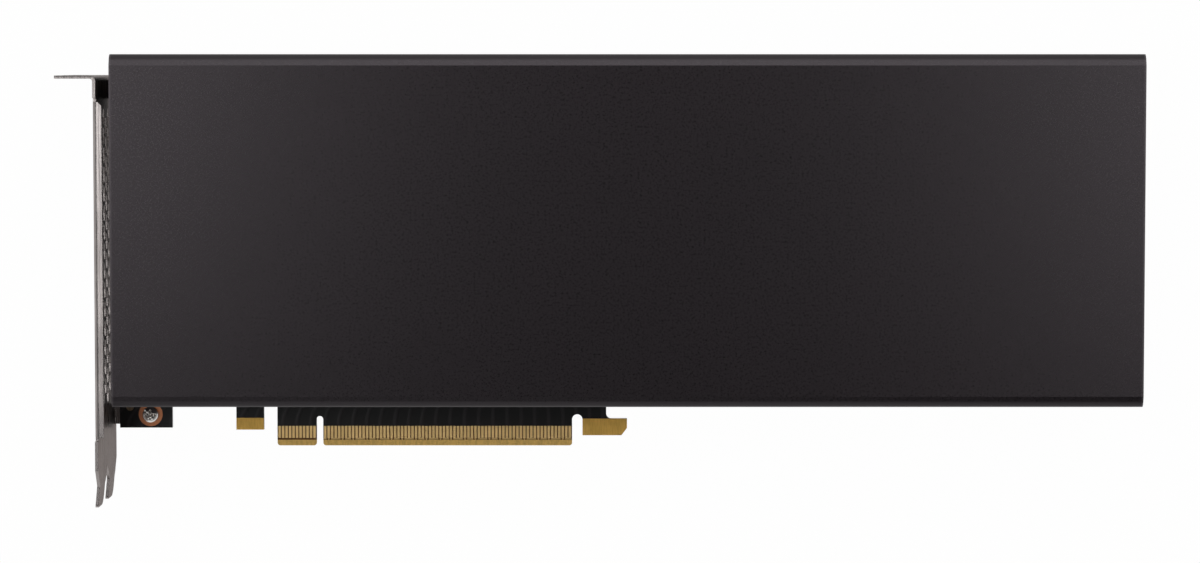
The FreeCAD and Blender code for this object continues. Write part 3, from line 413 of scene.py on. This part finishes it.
def tinted(base, *factors):
    """A colour made lighter or darker, by one factor or by one for each channel."""
    return tuple(min(1.0, part * factor) for part, factor in zip(base, factors * 3))


def grain_shade(finish, grain, contrast):
    """Grey that darkens and lightens a colour with the grain, evenly about its own value."""
    return finish.mix(grain["Mask"], (1.0 - contrast,) * 3, (1.0 + contrast,) * 3)


def shroud_finish(colours, detail):
    """Satin black aluminium: blasted, dyed, a little warm in places, lighter at the cut ends, partly from
    rubbing and partly as a painted highlight of the lit end edges.
    """
    finish = Finish("Shroud_Black", roughness=0.30, specular_tint=(1.0, 0.90, 0.97, 1.0))
    low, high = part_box("shroud")
    x, y, _ = finish.axes(finish.where)
    dye = finish.effect("Drift", size=90 * MM, first=tinted(colours.shroud, 0.93),
                        second=tinted(colours.shroud, 1.10, 1.04, 1.06))
    grain = finish.effect("Grain", size=detail.blast_grain, contrast=0.75)
    skin = finish.mix(1.0, dye["Color"], grain_shade(finish, grain, 0.60), "MULTIPLY")
    # The cut ends are lightened: partly rubbed metal, partly a painted highlight where the end edges catch
    # the light.
    rub_and_highlight_strength = 0.5
    rub_and_highlight = finish.span(finish.inwards(x, low.x, high.x), 0.2 * MM, 0.7 * MM, rub_and_highlight_strength, 0.0)
    skin = finish.mix(rub_and_highlight, skin, tuple(colours.rubbed_end_and_highlight))
    scuffs = finish.effect("Scuffs", size=6 * MM, amount=0.25)
    finish.paint("Base Color", finish.mix(scuffs["Mask"], skin, tuple(colours.scratch)))
    bend_dulling = 0.34
    bend = finish.span(finish.inwards(y, low.y, high.y), 0.6 * MM, 2.0 * MM, bend_dulling, 0.0)
    rough = finish.span(grain["Mask"], 0.0, 1.0, 0.24, 0.36, smooth=False)
    finish.paint("Roughness", finish.maths("ADD", bend, rough))
    finish.relief(grain["Height"], detail.blast_depth)
    return finish.material


# The board's bare edge, counted outwards from the outermost contacts, and the depth of the black
# mask on the board's cut sides.
MASK_EDGE = 0.05 * MM
BEVEL_START = 0.45 * MM
TONGUE_MARGIN = 0.8 * MM
EDGE_BLEND = 0.2 * MM
MASK_DEPTH = 0.12 * MM
MASK_FADE = 0.08 * MM


def board_finish(colours, detail):
    """Black mask over fanned tracks, bare laminate between the contacts, pale cut bevel."""
    finish = Finish("Board_Black", roughness=0.36, specular_ior_level=0.32)
    low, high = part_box("front_contacts")
    board_low, board_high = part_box("board")
    x, y, z = finish.axes(finish.where)
    middle = (board_low.x + board_high.x) / 2
    from_tracks = finish.add("VectorMath", operation="SUBTRACT")
    finish.feed(from_tracks.inputs[0], finish.where)
    finish.feed(from_tracks.inputs[1], (middle - detail.track_middle, high.y, 0.0))
    tracks = finish.effect("Tracks", vector=from_tracks.outputs["Vector"], pitch=detail.track_pitch)
    grain = finish.effect("Grain", size=0.8 * MM, contrast=0.5)
    lacquer = finish.mix(tracks["Height"], tinted(colours.mask, 0.85), tinted(colours.mask, 5.5))
    speckle = finish.maths("MULTIPLY", grain["Mask"], 0.25)
    lacquer = finish.mix(speckle, lacquer, tinted(colours.mask, 2.0))
    weave = finish.effect("Streaks", size=0.5 * MM, stretch=(0.9, 0.12, 1.0))
    laminate = finish.mix(weave["Mask"], tinted(colours.laminate, 0.7), tinted(colours.laminate, 1.25))
    bevel = finish.mix(weave["Mask"], tinted(colours.bevel, 0.86), tinted(colours.bevel, 1.1))
    core = finish.mix(weave["Mask"], tuple(colours.core), tuple(colours.core_cloth))
    below_mask = finish.span(y, high.y + MASK_EDGE, high.y - MASK_EDGE)
    on_bevel = finish.span(y, low.y - BEVEL_START, low.y - BEVEL_START - EDGE_BLEND)
    in_tongue = finish.span(x, low.x - TONGUE_MARGIN, low.x - TONGUE_MARGIN + EDGE_BLEND)
    past_tongue = finish.span(x, high.x + TONGUE_MARGIN, high.x + TONGUE_MARGIN + EDGE_BLEND, 1.0, 0.0)
    bare = finish.maths("MULTIPLY", below_mask, finish.maths("MULTIPLY", in_tongue, past_tongue))
    inside = finish.inwards(z, board_low.z, board_high.z)
    near_face = finish.span(inside, MASK_DEPTH, MASK_DEPTH + MASK_FADE, 1.0, 0.0)
    skin = finish.mix(bare, lacquer, finish.mix(on_bevel, laminate, bevel))
    skin = finish.mix(finish.maths("MAXIMUM", near_face, bare), core, skin)
    finish.paint("Base Color", skin)
    finish.roughen(bare, 0.36, 0.55)
    under = finish.relief(grain["Height"], 0.006 * MM)
    finish.relief(tracks["Height"], detail.track_relief, under)
    return finish.material


def wiped(finish, tint, base):
    """A plated or bare colour with fine polishing lines along the wipe, and the lines' mask."""
    wipe = finish.effect("Streaks", size=0.18 * MM, stretch=(1.0, 0.05, 1.0))
    finish.relief(wipe["Height"], 0.004 * MM)
    lines = finish.maths("MULTIPLY", wipe["Mask"], 0.35)
    return finish.mix(lines, tint, tinted(base, 0.7)), wipe["Mask"]


def gold_finish(name, base, roughness):
    """Gold plating over nickel, slightly uneven in tint and polished along the wipe."""
    finish = Finish(name, roughness=roughness, metallic=1.0)
    tint = finish.effect("Drift", size=4 * MM, first=tinted(base, 0.92),
                         second=tinted(base, 1.05, 1.04, 1.08))
    skin, lines = wiped(finish, tint["Color"], base)
    finish.paint("Base Color", skin)
    finish.roughen(lines, roughness - 0.06, roughness + 0.10)
    return finish.material


def sheet_finish(name, base, roughness, streak, stretch, tarnish=0.15, painted_edge_shade=None, **constants):
    """Plated or rolled sheet metal with streaks along its rolling direction."""
    finish = Finish(name, roughness=roughness, metallic=1.0, **constants)
    tint = finish.effect("Drift", size=12 * MM, first=tinted(base, 1.0 - tarnish),
                         second=tinted(base, 1.0 + tarnish / 2))
    lines = finish.effect("Streaks", size=streak, stretch=stretch)
    scuffs = finish.effect("Scuffs", size=3 * MM, amount=0.5)
    skin = finish.mix(finish.maths("MULTIPLY", lines["Mask"], 0.30), tint["Color"], tinted(base, 0.72))
    skin = finish.mix(scuffs["Mask"], skin, tinted(base, 1.25))
    # Where a painted shade mask is given, the colour is darkened there as painted shade.
    if painted_edge_shade is not None:
        skin = finish.mix(painted_edge_shade(finish), skin, tinted(base, 0.32))
    finish.paint("Base Color", skin)
    finish.roughen(lines["Mask"], roughness - 0.07, roughness + 0.08)
    finish.relief(lines["Height"], 0.006 * MM, finish.eased(EASED_EDGE))
    return finish.material


def moulded_finish(name, base, roughness, grain_size, depth=0.012 * MM):
    """Moulded or coated bodies with a fine matt grain."""
    finish = Finish(name, roughness=roughness)
    grain = finish.effect("Grain", size=grain_size, contrast=0.6)
    tint = finish.effect("Drift", size=9 * MM, first=tinted(base, 0.86), second=tinted(base, 1.12))
    finish.paint("Base Color", finish.mix(1.0, tint["Color"], grain_shade(finish, grain, 0.2), "MULTIPLY"))
    finish.roughen(grain["Mask"], roughness - 0.06, roughness + 0.08)
    finish.relief(grain["Height"], depth, finish.eased(EASED_EDGE))
    return finish.material


def film_finish(colours):
    """Thin clear film that shows the board behind it, with a faint haze."""
    finish = Finish("Film_Clear", roughness=0.22)
    haze = finish.effect("Drift", size=6 * MM, first=tinted(colours.film, 0.7),
                         second=tinted(colours.film, 1.3))
    finish.paint("Base Color", haze["Color"])
    finish.paint("Alpha", finish.span(haze["Mask"], 0.0, 1.0, 0.16, 0.24))
    ripple = finish.effect("Grain", size=12 * MM)
    finish.relief(ripple["Height"], 0.04 * MM)
    return finish.material


def dress(finish, *nodes):
    """Put a finish on CAD sub-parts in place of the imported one."""
    for name in nodes:
        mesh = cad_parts[name].data
        mesh.materials.clear()
        mesh.materials.append(finish)


# Mesh helpers


def add_piece(name, mesh, finish, slot, *nodes):
    """Show a finished mesh as a piece of the card, in place of the CAD sub-parts named."""
    thing = bpy.data.objects.new(name, mesh)
    bpy.context.scene.collection.objects.link(thing)
    mesh.materials.clear()
    mesh.materials.append(finish)
    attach(thing, "root")
    if nodes:
        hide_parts(*nodes)
    return thing


def lathe(shape, profile, centre, steps, sink=None):
    """Turn a profile of (radius, height) points about a vertical axis and add it to a mesh.

    A radius of nothing gives a single point. Sink, where given, says how far a point is lowered.
    """
    rings = []
    for radius, height in profile:
        ring = []
        for step in range(steps if radius > 0.0 else 1):
            turn = 2 * math.pi * step / steps
            x, y = radius * math.cos(turn), radius * math.sin(turn)
            drop = sink(x, y, height) if sink is not None else 0.0
            ring.append(shape.verts.new((centre[0] + x, centre[1] + y, height - drop)))
        rings.append(ring)
    for first, second in zip(rings, rings[1:]):
        for step in range(steps):
            after = (step + 1) % steps
            corners = (first[step % len(first)], second[step % len(second)],
                       second[after % len(second)], first[after % len(first)])
            shape.faces.new(list(dict.fromkeys(corners)))


def rounded_block(shape, low, high, rounding):
    """A box with rounded edges, added to a mesh."""
    made = bmesh.ops.create_cube(shape, size=1.0)["verts"]
    middle = (Vector(low) + Vector(high)) / 2
    sides = Vector(high) - Vector(low)
    for vert in made:
        vert.co = middle + Vector(part * side for part, side in zip(vert.co, sides))
    edges = list(dict.fromkeys(edge for vert in made for edge in vert.link_edges))
    bmesh.ops.bevel(shape, geom=edges, offset=rounding, segments=3, profile=0.5, affect="EDGES")


def solid_mesh(name, shape, smooth=True, angle=0.6):
    """Finish a mesh: outward normals and smooth shading up to an angle."""
    bmesh.ops.recalc_face_normals(shape, faces=shape.faces)
    mesh = bpy.data.meshes.new(name)
    shape.to_mesh(mesh)
    shape.free()
    if smooth:
        mesh.shade_smooth()
        mesh.set_sharp_from_angle(angle=angle)
    return mesh


def islands(node):
    """The boxes of a CAD sub-part's separate solids, as pairs of lowest and highest corners."""
    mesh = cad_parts[node].data
    shape = bmesh.new()
    shape.from_mesh(mesh)
    bmesh.ops.remove_doubles(shape, verts=shape.verts, dist=WELD)
    left = set(shape.verts)
    boxes = []
    while left:
        front = [left.pop()]
        found = list(front)
        while front:
            vert = front.pop()
            for edge in vert.link_edges:
                other = edge.other_vert(vert)
                if other in left:
                    left.remove(other)
                    front.append(other)
                    found.append(other)
        low = Vector([min(vert.co[axis] for vert in found) for axis in range(3)])
        high = Vector([max(vert.co[axis] for vert in found) for axis in range(3)])
        boxes.append((low, high))
    shape.free()
    return sorted(boxes, key=lambda box: (round(box[0].x, 5), round(box[0].y, 5), box[0].z))


# Operators

# The floor's half width, and its distance below the card.
FLOOR_REACH = 4.0
FLOOR_GAP = 0.2 * MM


class CARD_OT_studio(bpy.types.Operator):
    """Set up the pale floor, the soft lamps, the surroundings and the camera"""

    bl_idname = "card.studio"
    bl_label = "Studio"

    def execute(self, context):
        studio = context.scene.card_studio
        self.make_floor(studio)
        self.make_surroundings(context.scene, studio)
        self.make_lamps(studio)
        self.make_camera(context.scene, studio)
        context.scene.view_settings.view_transform = "Standard"
        return {"FINISHED"}

    def seen_plainly(self, wires, shown):
        """How far a surface shows its own white: on camera, mirrored and clear rays."""
        path = wires.add("LightPath").outputs
        seen = wires.maths("MAXIMUM", path["Is Camera Ray"], path["Is Glossy Ray"])
        seen = wires.maths("MAXIMUM", seen, path["Is Transmission Ray"])
        return wires.maths("MULTIPLY", seen, shown)

    def make_floor(self, studio):
        """A wide pale floor that keeps the card's shadow and is clear from below."""
        shape = bmesh.new()
        bmesh.ops.create_grid(shape, x_segments=2, y_segments=2, size=FLOOR_REACH)
        mesh = bpy.data.meshes.new("studio_floor")
        shape.to_mesh(mesh)
        shape.free()
        floor = bpy.data.objects.new("studio_floor", mesh)
        floor.location.z = CAD_BOX[0][2] - FLOOR_GAP
        bpy.context.scene.collection.objects.link(floor)
        material = bpy.data.materials.new("Studio_Floor")
        material.use_nodes = True
        wires = Wiring(material.node_tree)
        material.node_tree.nodes.remove(material.node_tree.nodes["Principled BSDF"])
        soft = wires.add("BsdfDiffuse")
        wires.feed(soft.inputs["Color"], tuple(studio.floor))
        white = wires.add("Emission")
        white.inputs["Strength"].default_value = 1.0
        both = wires.add("MixShader")
        wires.feed(both.inputs[0], self.seen_plainly(wires, studio.backdrop))
        wires.feed(both.inputs[1], soft.outputs[0])
        wires.feed(both.inputs[2], white.outputs[0])
        clear = wires.add("BsdfTransparent")
        sided = wires.add("MixShader")
        wires.feed(sided.inputs[0], wires.add("NewGeometry").outputs["Backfacing"])
        wires.feed(sided.inputs[1], both.outputs[0])
        wires.feed(sided.inputs[2], clear.outputs[0])
        wires.feed(material.node_tree.nodes["Material Output"].inputs["Surface"], sided.outputs[0])
        mesh.materials.append(material)

    def make_surroundings(self, scene, studio):
        """White to the eye, and an even pale dome with a dimmer ceiling to the card."""
        world = bpy.data.worlds.new("Studio")
        scene.world = world
        world.use_nodes = True
        wires = Wiring(world.node_tree)
        wires.tree.nodes.clear()
        _, _, up = wires.axes(wires.add("TexCoord").outputs["Generated"])
        skyline = 0.10
        level = wires.span(up, skyline, 0.80, 1.0, studio.ceiling)
        dome = wires.add("Background")
        wires.feed(dome.inputs["Strength"], wires.maths("MULTIPLY", level, studio.dome))
        white = wires.add("Background")
        white.inputs["Strength"].default_value = 1.0
        path = wires.add("LightPath").outputs
        low = wires.span(up, skyline, 0.30, 1.0, 0.0)
        mirrored = wires.maths("MAXIMUM", path["Is Glossy Ray"], path["Is Transmission Ray"])
        seen = wires.maths("MAXIMUM", path["Is Camera Ray"], wires.maths("MULTIPLY", mirrored, low))
        both = wires.add("MixShader")
        wires.feed(both.inputs[0], seen)
        wires.feed(both.inputs[1], dome.outputs[0])
        wires.feed(both.inputs[2], white.outputs[0])
        wires.feed(wires.add("OutputWorld").inputs["Surface"], both.outputs[0])

    def make_lamps(self, studio):
        """A long lamp beyond the card's top edge, a soft box over each end and a low lamp."""
        for name, power, place, sides in (
            ("key_lamp", studio.key_power, (0.0, 0.90, 0.88), (1.4, 0.5)),
            ("left_box", studio.left_power, (-0.57, 0.16, 1.00), (0.45, 0.80)),
            ("right_box", studio.right_power, (0.60, 0.16, 1.00), (0.45, 0.80)),
            ("low_lamp", studio.low_power, (-0.25, -0.85, 0.60), (0.9, 0.3)),
        ):
            lamp = bpy.data.lights.new(name, "AREA")
            lamp.shape = "RECTANGLE"
            lamp.size, lamp.size_y = sides
            lamp.energy = power
            thing = bpy.data.objects.new(name, lamp)
            thing.location = place
            thing.rotation_euler = (-Vector(place)).to_track_quat("-Z", "Y").to_euler()
            bpy.context.scene.collection.objects.link(thing)

    def make_camera(self, scene, studio):
        """The camera over the card, looking down on the shroud."""
        lens = bpy.data.cameras.new("camera")
        lens.lens = studio.camera_lens
        lens.sensor_width = FILM_WIDTH
        lens.clip_start, lens.clip_end = 0.05, 20.0
        camera = bpy.data.objects.new("camera", lens)
        camera.location = studio.camera_place
        camera.rotation_euler = (studio.camera_tilt, 0.0, 0.0)
        scene.collection.objects.link(camera)
        scene.camera = camera


class CARD_OT_shroud(bpy.types.Operator):
    """Give the shroud its blasted black finish"""

    bl_idname = "card.shroud"
    bl_label = "Shroud"

    def execute(self, context):
        scene = context.scene
        dress(shroud_finish(scene.card_colours, scene.card_detail), "shroud")
        return {"FINISHED"}


class CARD_OT_board(bpy.types.Operator):
    """Give the board its black mask, tracks and bare card edge"""

    bl_idname = "card.board"
    bl_label = "Board"

    def execute(self, context):
        scene = context.scene
        dress(board_finish(scene.card_colours, scene.card_detail), "board")
        return {"FINISHED"}


class CARD_OT_contacts(bpy.types.Operator):
    """Plate the contacts and tabs, and add the lead-ins below the contacts"""

    bl_idname = "card.contacts"
    bl_label = "Contacts"

    def execute(self, context):
        colours = context.scene.card_colours
        detail = context.scene.card_detail
        contacts = gold_finish("Contact_Gold", colours.gold, roughness=0.43)
        tabs = gold_finish("Tab_Gold", colours.tab_gold, roughness=0.50)
        dress(contacts, "front_contacts", "back_contacts", "connector_pins")
        dress(tabs, "small_tab_plating", "hook_plating")
        self.make_leads(detail, contacts)
        return {"FINISHED"}

    def make_leads(self, detail, finish):
        """Gold on the long tongue's bevel: bars join the contacts' feet, with points between them."""
        shape = bmesh.new()
        boxes = islands("front_contacts")
        gaps = [after[0].x - before[1].x for before, after in zip(boxes, boxes[1:])]
        tongue = boxes[gaps.index(max(gaps)) + 1:]
        half_gap = min(gaps) / 2
        top_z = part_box("board")[1].z
        for number, (low, high) in enumerate(tongue):
            alone = [self.stands_alone(number + step) for step in (-1, 0, 1)]
            if alone[1]:
                narrow = (high.x - low.x) * detail.lead_narrow
                feet = (low.x, high.x, high.x - narrow, low.x + narrow)
                drop = detail.lead_point
            else:
                left = low.x - (0.0 if alone[0] else half_gap)
                right = high.x + (0.0 if alone[2] else half_gap)
                feet = (left, right, right, left)
                drop = detail.lead_bar
            heights = (low.y, low.y, low.y - drop, low.y - drop)
            verts = [shape.verts.new((x, y, top_z - (low.y - y) * detail.bevel_lean))
                     for x, y in zip(feet, heights)]
            face = shape.faces.new(verts)
            for item in bmesh.ops.extrude_face_region(shape, geom=[face])["geom"]:
                if isinstance(item, bmesh.types.BMVert):
                    item.co.z += detail.lead_thick
        leads = solid_mesh("contact_leads", shape, smooth=False)
        add_piece("contact_leads", leads, finish, "contact_gold")

    def stands_alone(self, number):
        """Whether a contact's foot ends in a point: by turns every fourth and every third does."""
        return number % 7 in (1, 5)


class CARD_OT_bracket(bpy.types.Operator):
    """Give the slot bracket its satin nickel plating"""

    bl_idname = "card.bracket"
    bl_label = "Slot Bracket"

    def execute(self, context):
        colours = context.scene.card_colours
        grain = context.scene.card_detail.sheet_grain
        # The flange's outer edge gets a painted shade.
        nickel = sheet_finish("Bracket_Nickel", colours.nickel, roughness=0.29, streak=grain,
                              stretch=(1.0, 0.02, 1.0), painted_edge_shade=self.flange_edge_shade,
                              specular_tint=(0.29, 0.265, 0.255, 1.0))
        dress(nickel, "bracket")
        return {"FINISHED"}

    def flange_edge_shade(self, finish):
        """Painted shade on the flange: its outer edge, the outer half of its thickness where it faces up,
        darkened to stand in for the dark edge that the light gives it.
        """
        _, y, _ = finish.axes(finish.where)
        _, _, facing = finish.axes(finish.add("TexCoord").outputs["Normal"])
        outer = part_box("bracket")[1].y
        near = finish.span(y, outer - 0.7 * MM, outer - 0.4 * MM)
        return finish.maths("MULTIPLY", near, finish.span(facing, 0.5, 0.8))


# The bracket screws: head, rim and shank. The shares are of the head's radius or height.
SCREW_STEPS = 96
DOME_RINGS = 14
DOME_REACH = 0.98
DOME_FLATNESS = 2.4
CROWN_LIMIT = 0.6
CROSS_REACH = 0.62
CROSS_DEPTH = 0.55
CROSS_TAPER = 0.45
CROSS_END = 0.30 * MM
CROSS_SIDE = 0.16 * MM
RIM_EDGE = 0.12 * MM
RIM_FOOT = (0.15 * MM, 0.18 * MM)
SHANK_RADIUS = 1.25 * MM
SHANK_POINT = 0.20 * MM


class CARD_OT_bracket_screws(bpy.types.Operator):
    """Model the bracket's domed cross-recess screws and finish their copper rings"""

    bl_idname = "card.bracket_screws"
    bl_label = "Bracket Screws"

    def execute(self, context):
        colours = context.scene.card_colours
        detail = context.scene.card_detail
        nickel = sheet_finish("Screw_Nickel", colours.bright_nickel, roughness=0.09, streak=0.3 * MM,
                              stretch=(1.0, 1.0, 1.0), tarnish=0.1)
        shape = bmesh.new()
        _, board_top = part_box("board")
        for low, high in islands("bracket_screws"):
            self.add_screw(shape, low, high, board_top.z, detail)
        screws = solid_mesh("bracket_pan_screws", shape, angle=0.5)
        add_piece("bracket_pan_screws", screws, nickel, "screw_nickel", "bracket_screws")
        dress(self.copper_finish(colours), "ground_rings")
        return {"FINISHED"}

    def copper_finish(self, colours):
        """Bare copper rings, with the small test pad painted darker: a painted shadow of the shroud over it.
        """
        finish = Finish("Bare_Copper", roughness=0.30, metallic=1.0)
        pad = min(islands("ground_rings"), key=lambda box: box[1].x - box[0].x)
        x, _, _ = finish.axes(finish.where)
        skin, _ = wiped(finish, tuple(colours.copper), colours.copper)
        # The small test pad gets a darker brown as a painted shadow from the shroud.
        on_pad = finish.span(x, pad[1].x, pad[1].x + 0.1 * MM, 1.0, 0.0)
        film = finish.effect("Drift", size=0.6 * MM, first=tinted(colours.pad_shadow_colour, 0.8),
                             second=tinted(colours.pad_shadow_colour, 1.4))
        finish.paint("Base Color", finish.mix(on_pad, skin, film["Color"]))
        finish.roughen(on_pad, 0.30, 0.5)
        return finish.material

    def add_screw(self, shape, low, high, seat, detail):
        """One screw: domed head with a sunk cross, rim, and shank down to its point."""
        centre = ((low.x + high.x) / 2, (low.y + high.y) / 2)
        radius = (high.x - low.x) / 2
        head = high.z - seat
        crown = min(detail.head_crown, head * CROWN_LIMIT)

        def cross(x, y, height):
            """How deep the cross is sunk: only into the dome."""
            if height < high.z - crown:
                return 0.0
            return self.recess(x, y, radius * CROSS_REACH, detail.recess_bar / 2) * head * CROSS_DEPTH

        dome = [ring / DOME_RINGS for ring in range(DOME_RINGS + 1)]
        profile = [(radius * DOME_REACH * along, high.z - crown * along ** DOME_FLATNESS) for along in dome]
        profile += [(radius, high.z - crown - RIM_EDGE), (radius, seat + RIM_FOOT[1]),
                    (radius - RIM_FOOT[0], seat), (SHANK_RADIUS, seat), (SHANK_RADIUS, low.z + SHANK_POINT),
                    (SHANK_RADIUS - SHANK_POINT, low.z), (0.0, low.z)]
        lathe(shape, profile, centre, SCREW_STEPS, cross)

    def recess(self, x, y, reach, bar):
        """Share of the cross's full depth at a place on the head."""
        best = 0.0
        for along, across in ((x, y), (y, x)):
            end = max(0.0, min(1.0, (reach - abs(along)) / CROSS_END))
            side = max(0.0, min(1.0, (bar - abs(across)) / CROSS_SIDE))
            taper = 1.0 - CROSS_TAPER * min(1.0, abs(along) / reach)
            best = max(best, end * side * taper)
        return best


class CARD_OT_heat_sink(bpy.types.Operator):
    """Finish the heat sink and the rear bar in plain aluminium"""

    bl_idname = "card.heat_sink"
    bl_label = "Heat Sink"

    def execute(self, context):
        base = context.scene.card_colours.aluminium
        sink = sheet_finish("Sink_Aluminium", base, roughness=0.38, streak=0.22 * MM,
                            stretch=(0.03, 1.0, 1.0))
        bar = sheet_finish("Bar_Aluminium", base, roughness=0.42, streak=0.3 * MM,
                           stretch=(1.0, 0.04, 1.0))
        dress(sink, "heat_sink")
        dress(bar, "rear_bar")
        return {"FINISHED"}


class CARD_OT_processor(bpy.types.Operator):
    """Finish the processor: substrate, nickelled lid and thermal paste"""

    bl_idname = "card.processor"
    bl_label = "Processor"

    def execute(self, context):
        colours = context.scene.card_colours
        substrate = moulded_finish("Substrate_Green", colours.substrate, roughness=0.32, grain_size=0.9 * MM)
        lid = sheet_finish("Lid_Nickel", colours.lid, roughness=0.30, streak=0.35 * MM,
                           stretch=(1.0, 0.3, 1.0))
        paste = moulded_finish("Paste_Grey", colours.paste, roughness=0.55, grain_size=1.8 * MM,
                               depth=0.06 * MM)
        dress(substrate, "processor_substrate")
        dress(lid, "processor_lid", "clock_oscillator", "backplate_spacers")
        dress(paste, "thermal_paste")
        return {"FINISHED"}


class CARD_OT_components(bpy.types.Operator):
    """Finish the board's chips, pads, inductors and small capacitors"""

    bl_idname = "card.components"
    bl_label = "Board Components"

    def execute(self, context):
        colours = context.scene.card_colours
        package = moulded_finish("Chip_Black", colours.package, roughness=0.55, grain_size=0.35 * MM)
        pad = moulded_finish("Pad_Blue", colours.pad, roughness=0.75, grain_size=0.7 * MM, depth=0.03 * MM)
        ceramic = moulded_finish("Capacitor_Tan", colours.ceramic, roughness=0.5, grain_size=0.3 * MM)
        dress(package, "memory_chips", "power_stages", "voltage_controller", "management_chip", "flash_chip")
        dress(pad, "memory_pads", "power_stage_pads")
        dress(ceramic, "ceramic_capacitors")
        self.make_inductors(colours, context.scene.card_detail.block_round)
        return {"FINISHED"}

    def make_inductors(self, colours, rounding):
        """Pressed blocks with rounded edges in place of the CAD sub-part's plain ones."""
        powder = moulded_finish("Inductor_Grey", colours.inductor, roughness=0.62, grain_size=0.4 * MM,
                                depth=0.03 * MM)
        shape = bmesh.new()
        for low, high in islands("inductors"):
            rounded_block(shape, low, high, rounding)
        blocks = solid_mesh("power_inductors", shape)
        add_piece("power_inductors", blocks, powder, "inductor_grey", "inductors")


# The bulk capacitors: square foot, rolled groove and rounded rim.
CAN_STEPS = 40
CAN_FOOT = 1.2 * MM
CAN_FOOT_ROUND = 0.4 * MM
CAN_RADIUS = 4.0 * MM
CAN_CURL = 0.3 * MM
GROOVE_RISE = 1.6 * MM
GROOVE_HALF = 0.4 * MM
CAN_ROUND = 0.6 * MM
CAN_DISH = 0.2 * MM
CAN_RIM = 1.1 * MM


class CARD_OT_capacitors(bpy.types.Operator):
    """Model the bulk capacitors with their rolled groove, rim and square foot"""

    bl_idname = "card.capacitors"
    bl_label = "Bulk Capacitors"

    def execute(self, context):
        colours = context.scene.card_colours
        shell = sheet_finish("Capacitor_Can", colours.can, roughness=0.36, streak=0.2 * MM,
                             stretch=(0.1, 0.1, 1.0))
        shape = bmesh.new()
        for low, high in islands("bulk_capacitors"):
            self.add_can(shape, low, high, context.scene.card_detail.can_groove)
        cans = solid_mesh("bulk_capacitor_cans", shape, angle=0.5)
        add_piece("bulk_capacitor_cans", cans, shell, "capacitor_can", "bulk_capacitors")
        return {"FINISHED"}

    def add_can(self, shape, low, high, groove):
        """One can on its square foot."""
        centre = ((low.x + high.x) / 2, (low.y + high.y) / 2)
        half = (high.x - low.x) / 2
        foot = low.z + CAN_FOOT
        radius = min(half, CAN_RADIUS)
        rounded_block(shape, (centre[0] - half, centre[1] - half, low.z),
                      (centre[0] + half, centre[1] + half, foot), CAN_FOOT_ROUND)
        waist = foot + GROOVE_RISE
        profile = ((0.0, foot), (radius - CAN_CURL, foot), (radius, foot + CAN_CURL),
                   (radius, waist - GROOVE_HALF), (radius - groove, waist), (radius, waist + GROOVE_HALF),
                   (radius, high.z - CAN_ROUND), (radius - CAN_DISH, high.z - CAN_DISH),
                   (radius - CAN_ROUND, high.z), (radius - CAN_RIM, high.z - CAN_DISH),
                   (0.0, high.z - CAN_DISH))
        lathe(shape, profile, centre, CAN_STEPS)


class CARD_OT_power_connector(bpy.types.Operator):
    """Finish the power connector at the rear end"""

    bl_idname = "card.power_connector"
    bl_label = "Power Connector"

    def execute(self, context):
        base = context.scene.card_colours.plastic
        dress(moulded_finish("Connector_Black", base, roughness=0.42, grain_size=0.6 * MM), "power_connector")
        return {"FINISHED"}


class CARD_OT_backplate(bpy.types.Operator):
    """Finish the backplate, its window film and the retention spring"""

    bl_idname = "card.backplate"
    bl_label = "Backplate"

    def execute(self, context):
        colours = context.scene.card_colours
        plate = moulded_finish("Backplate_Black", colours.plate, roughness=0.50, grain_size=0.7 * MM,
                               depth=0.02 * MM)
        spring = sheet_finish("Spring_Steel", colours.steel, roughness=0.34, streak=0.3 * MM,
                              stretch=(0.2, 0.2, 1.0))
        dress(plate, "backplate")
        dress(film_finish(colours), "insulating_sheet")
        dress(spring, "retention_spring")
        return {"FINISHED"}


class CARD_OT_fixings(bpy.types.Operator):
    """Finish the small black screws"""

    bl_idname = "card.fixings"
    bl_label = "Small Screws"

    def execute(self, context):
        base = context.scene.card_colours.screw
        black = moulded_finish("Screw_Black", base, roughness=0.34, grain_size=0.4 * MM, depth=0.006 * MM)
        dress(black, "retention_screws", "backplate_screws", "shroud_screws")
        return {"FINISHED"}


class CARD_PT_pieces(bpy.types.Panel):
    """Lists the card's pieces and settings"""

    bl_idname = "CARD_PT_pieces"
    bl_label = "Accelerator Card"
    bl_space_type = "VIEW_3D"
    bl_region_type = "UI"
    bl_category = "Card"

    def draw(self, context):
        layout = self.layout
        for step in STEPS:
            layout.operator(step.bl_idname)
        scene = context.scene
        for settings in (scene.card_studio, scene.card_colours, scene.card_detail):
            box = layout.box()
            for name in settings.bl_rna.properties.keys():
                if name not in ("rna_type", "name"):
                    box.prop(settings, name)


STEPS = (
    CARD_OT_studio,
    CARD_OT_shroud,
    CARD_OT_board,
    CARD_OT_contacts,
    CARD_OT_bracket,
    CARD_OT_bracket_screws,
    CARD_OT_heat_sink,
    CARD_OT_processor,
    CARD_OT_components,
    CARD_OT_capacitors,
    CARD_OT_power_connector,
    CARD_OT_backplate,
    CARD_OT_fixings,
)
CLASSES = (CardColours, CardDetail, CardStudio, *STEPS, CARD_PT_pieces)


def register():
    """Add the card's settings, operators and panel."""
    for kind in CLASSES:
        bpy.utils.register_class(kind)
    bpy.types.Scene.card_colours = PointerProperty(type=CardColours)
    bpy.types.Scene.card_detail = PointerProperty(type=CardDetail)
    bpy.types.Scene.card_studio = PointerProperty(type=CardStudio)


def unregister():
    """Remove them again."""
    del bpy.types.Scene.card_studio
    del bpy.types.Scene.card_detail
    del bpy.types.Scene.card_colours
    for kind in reversed(CLASSES):
        bpy.utils.unregister_class(kind)


def main():
    """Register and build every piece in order."""
    register()
    make_effects()
    for step in STEPS:
        getattr(bpy.ops.card, step.bl_idname.partition(".")[2])()


if __name__ == "__main__":
    main()
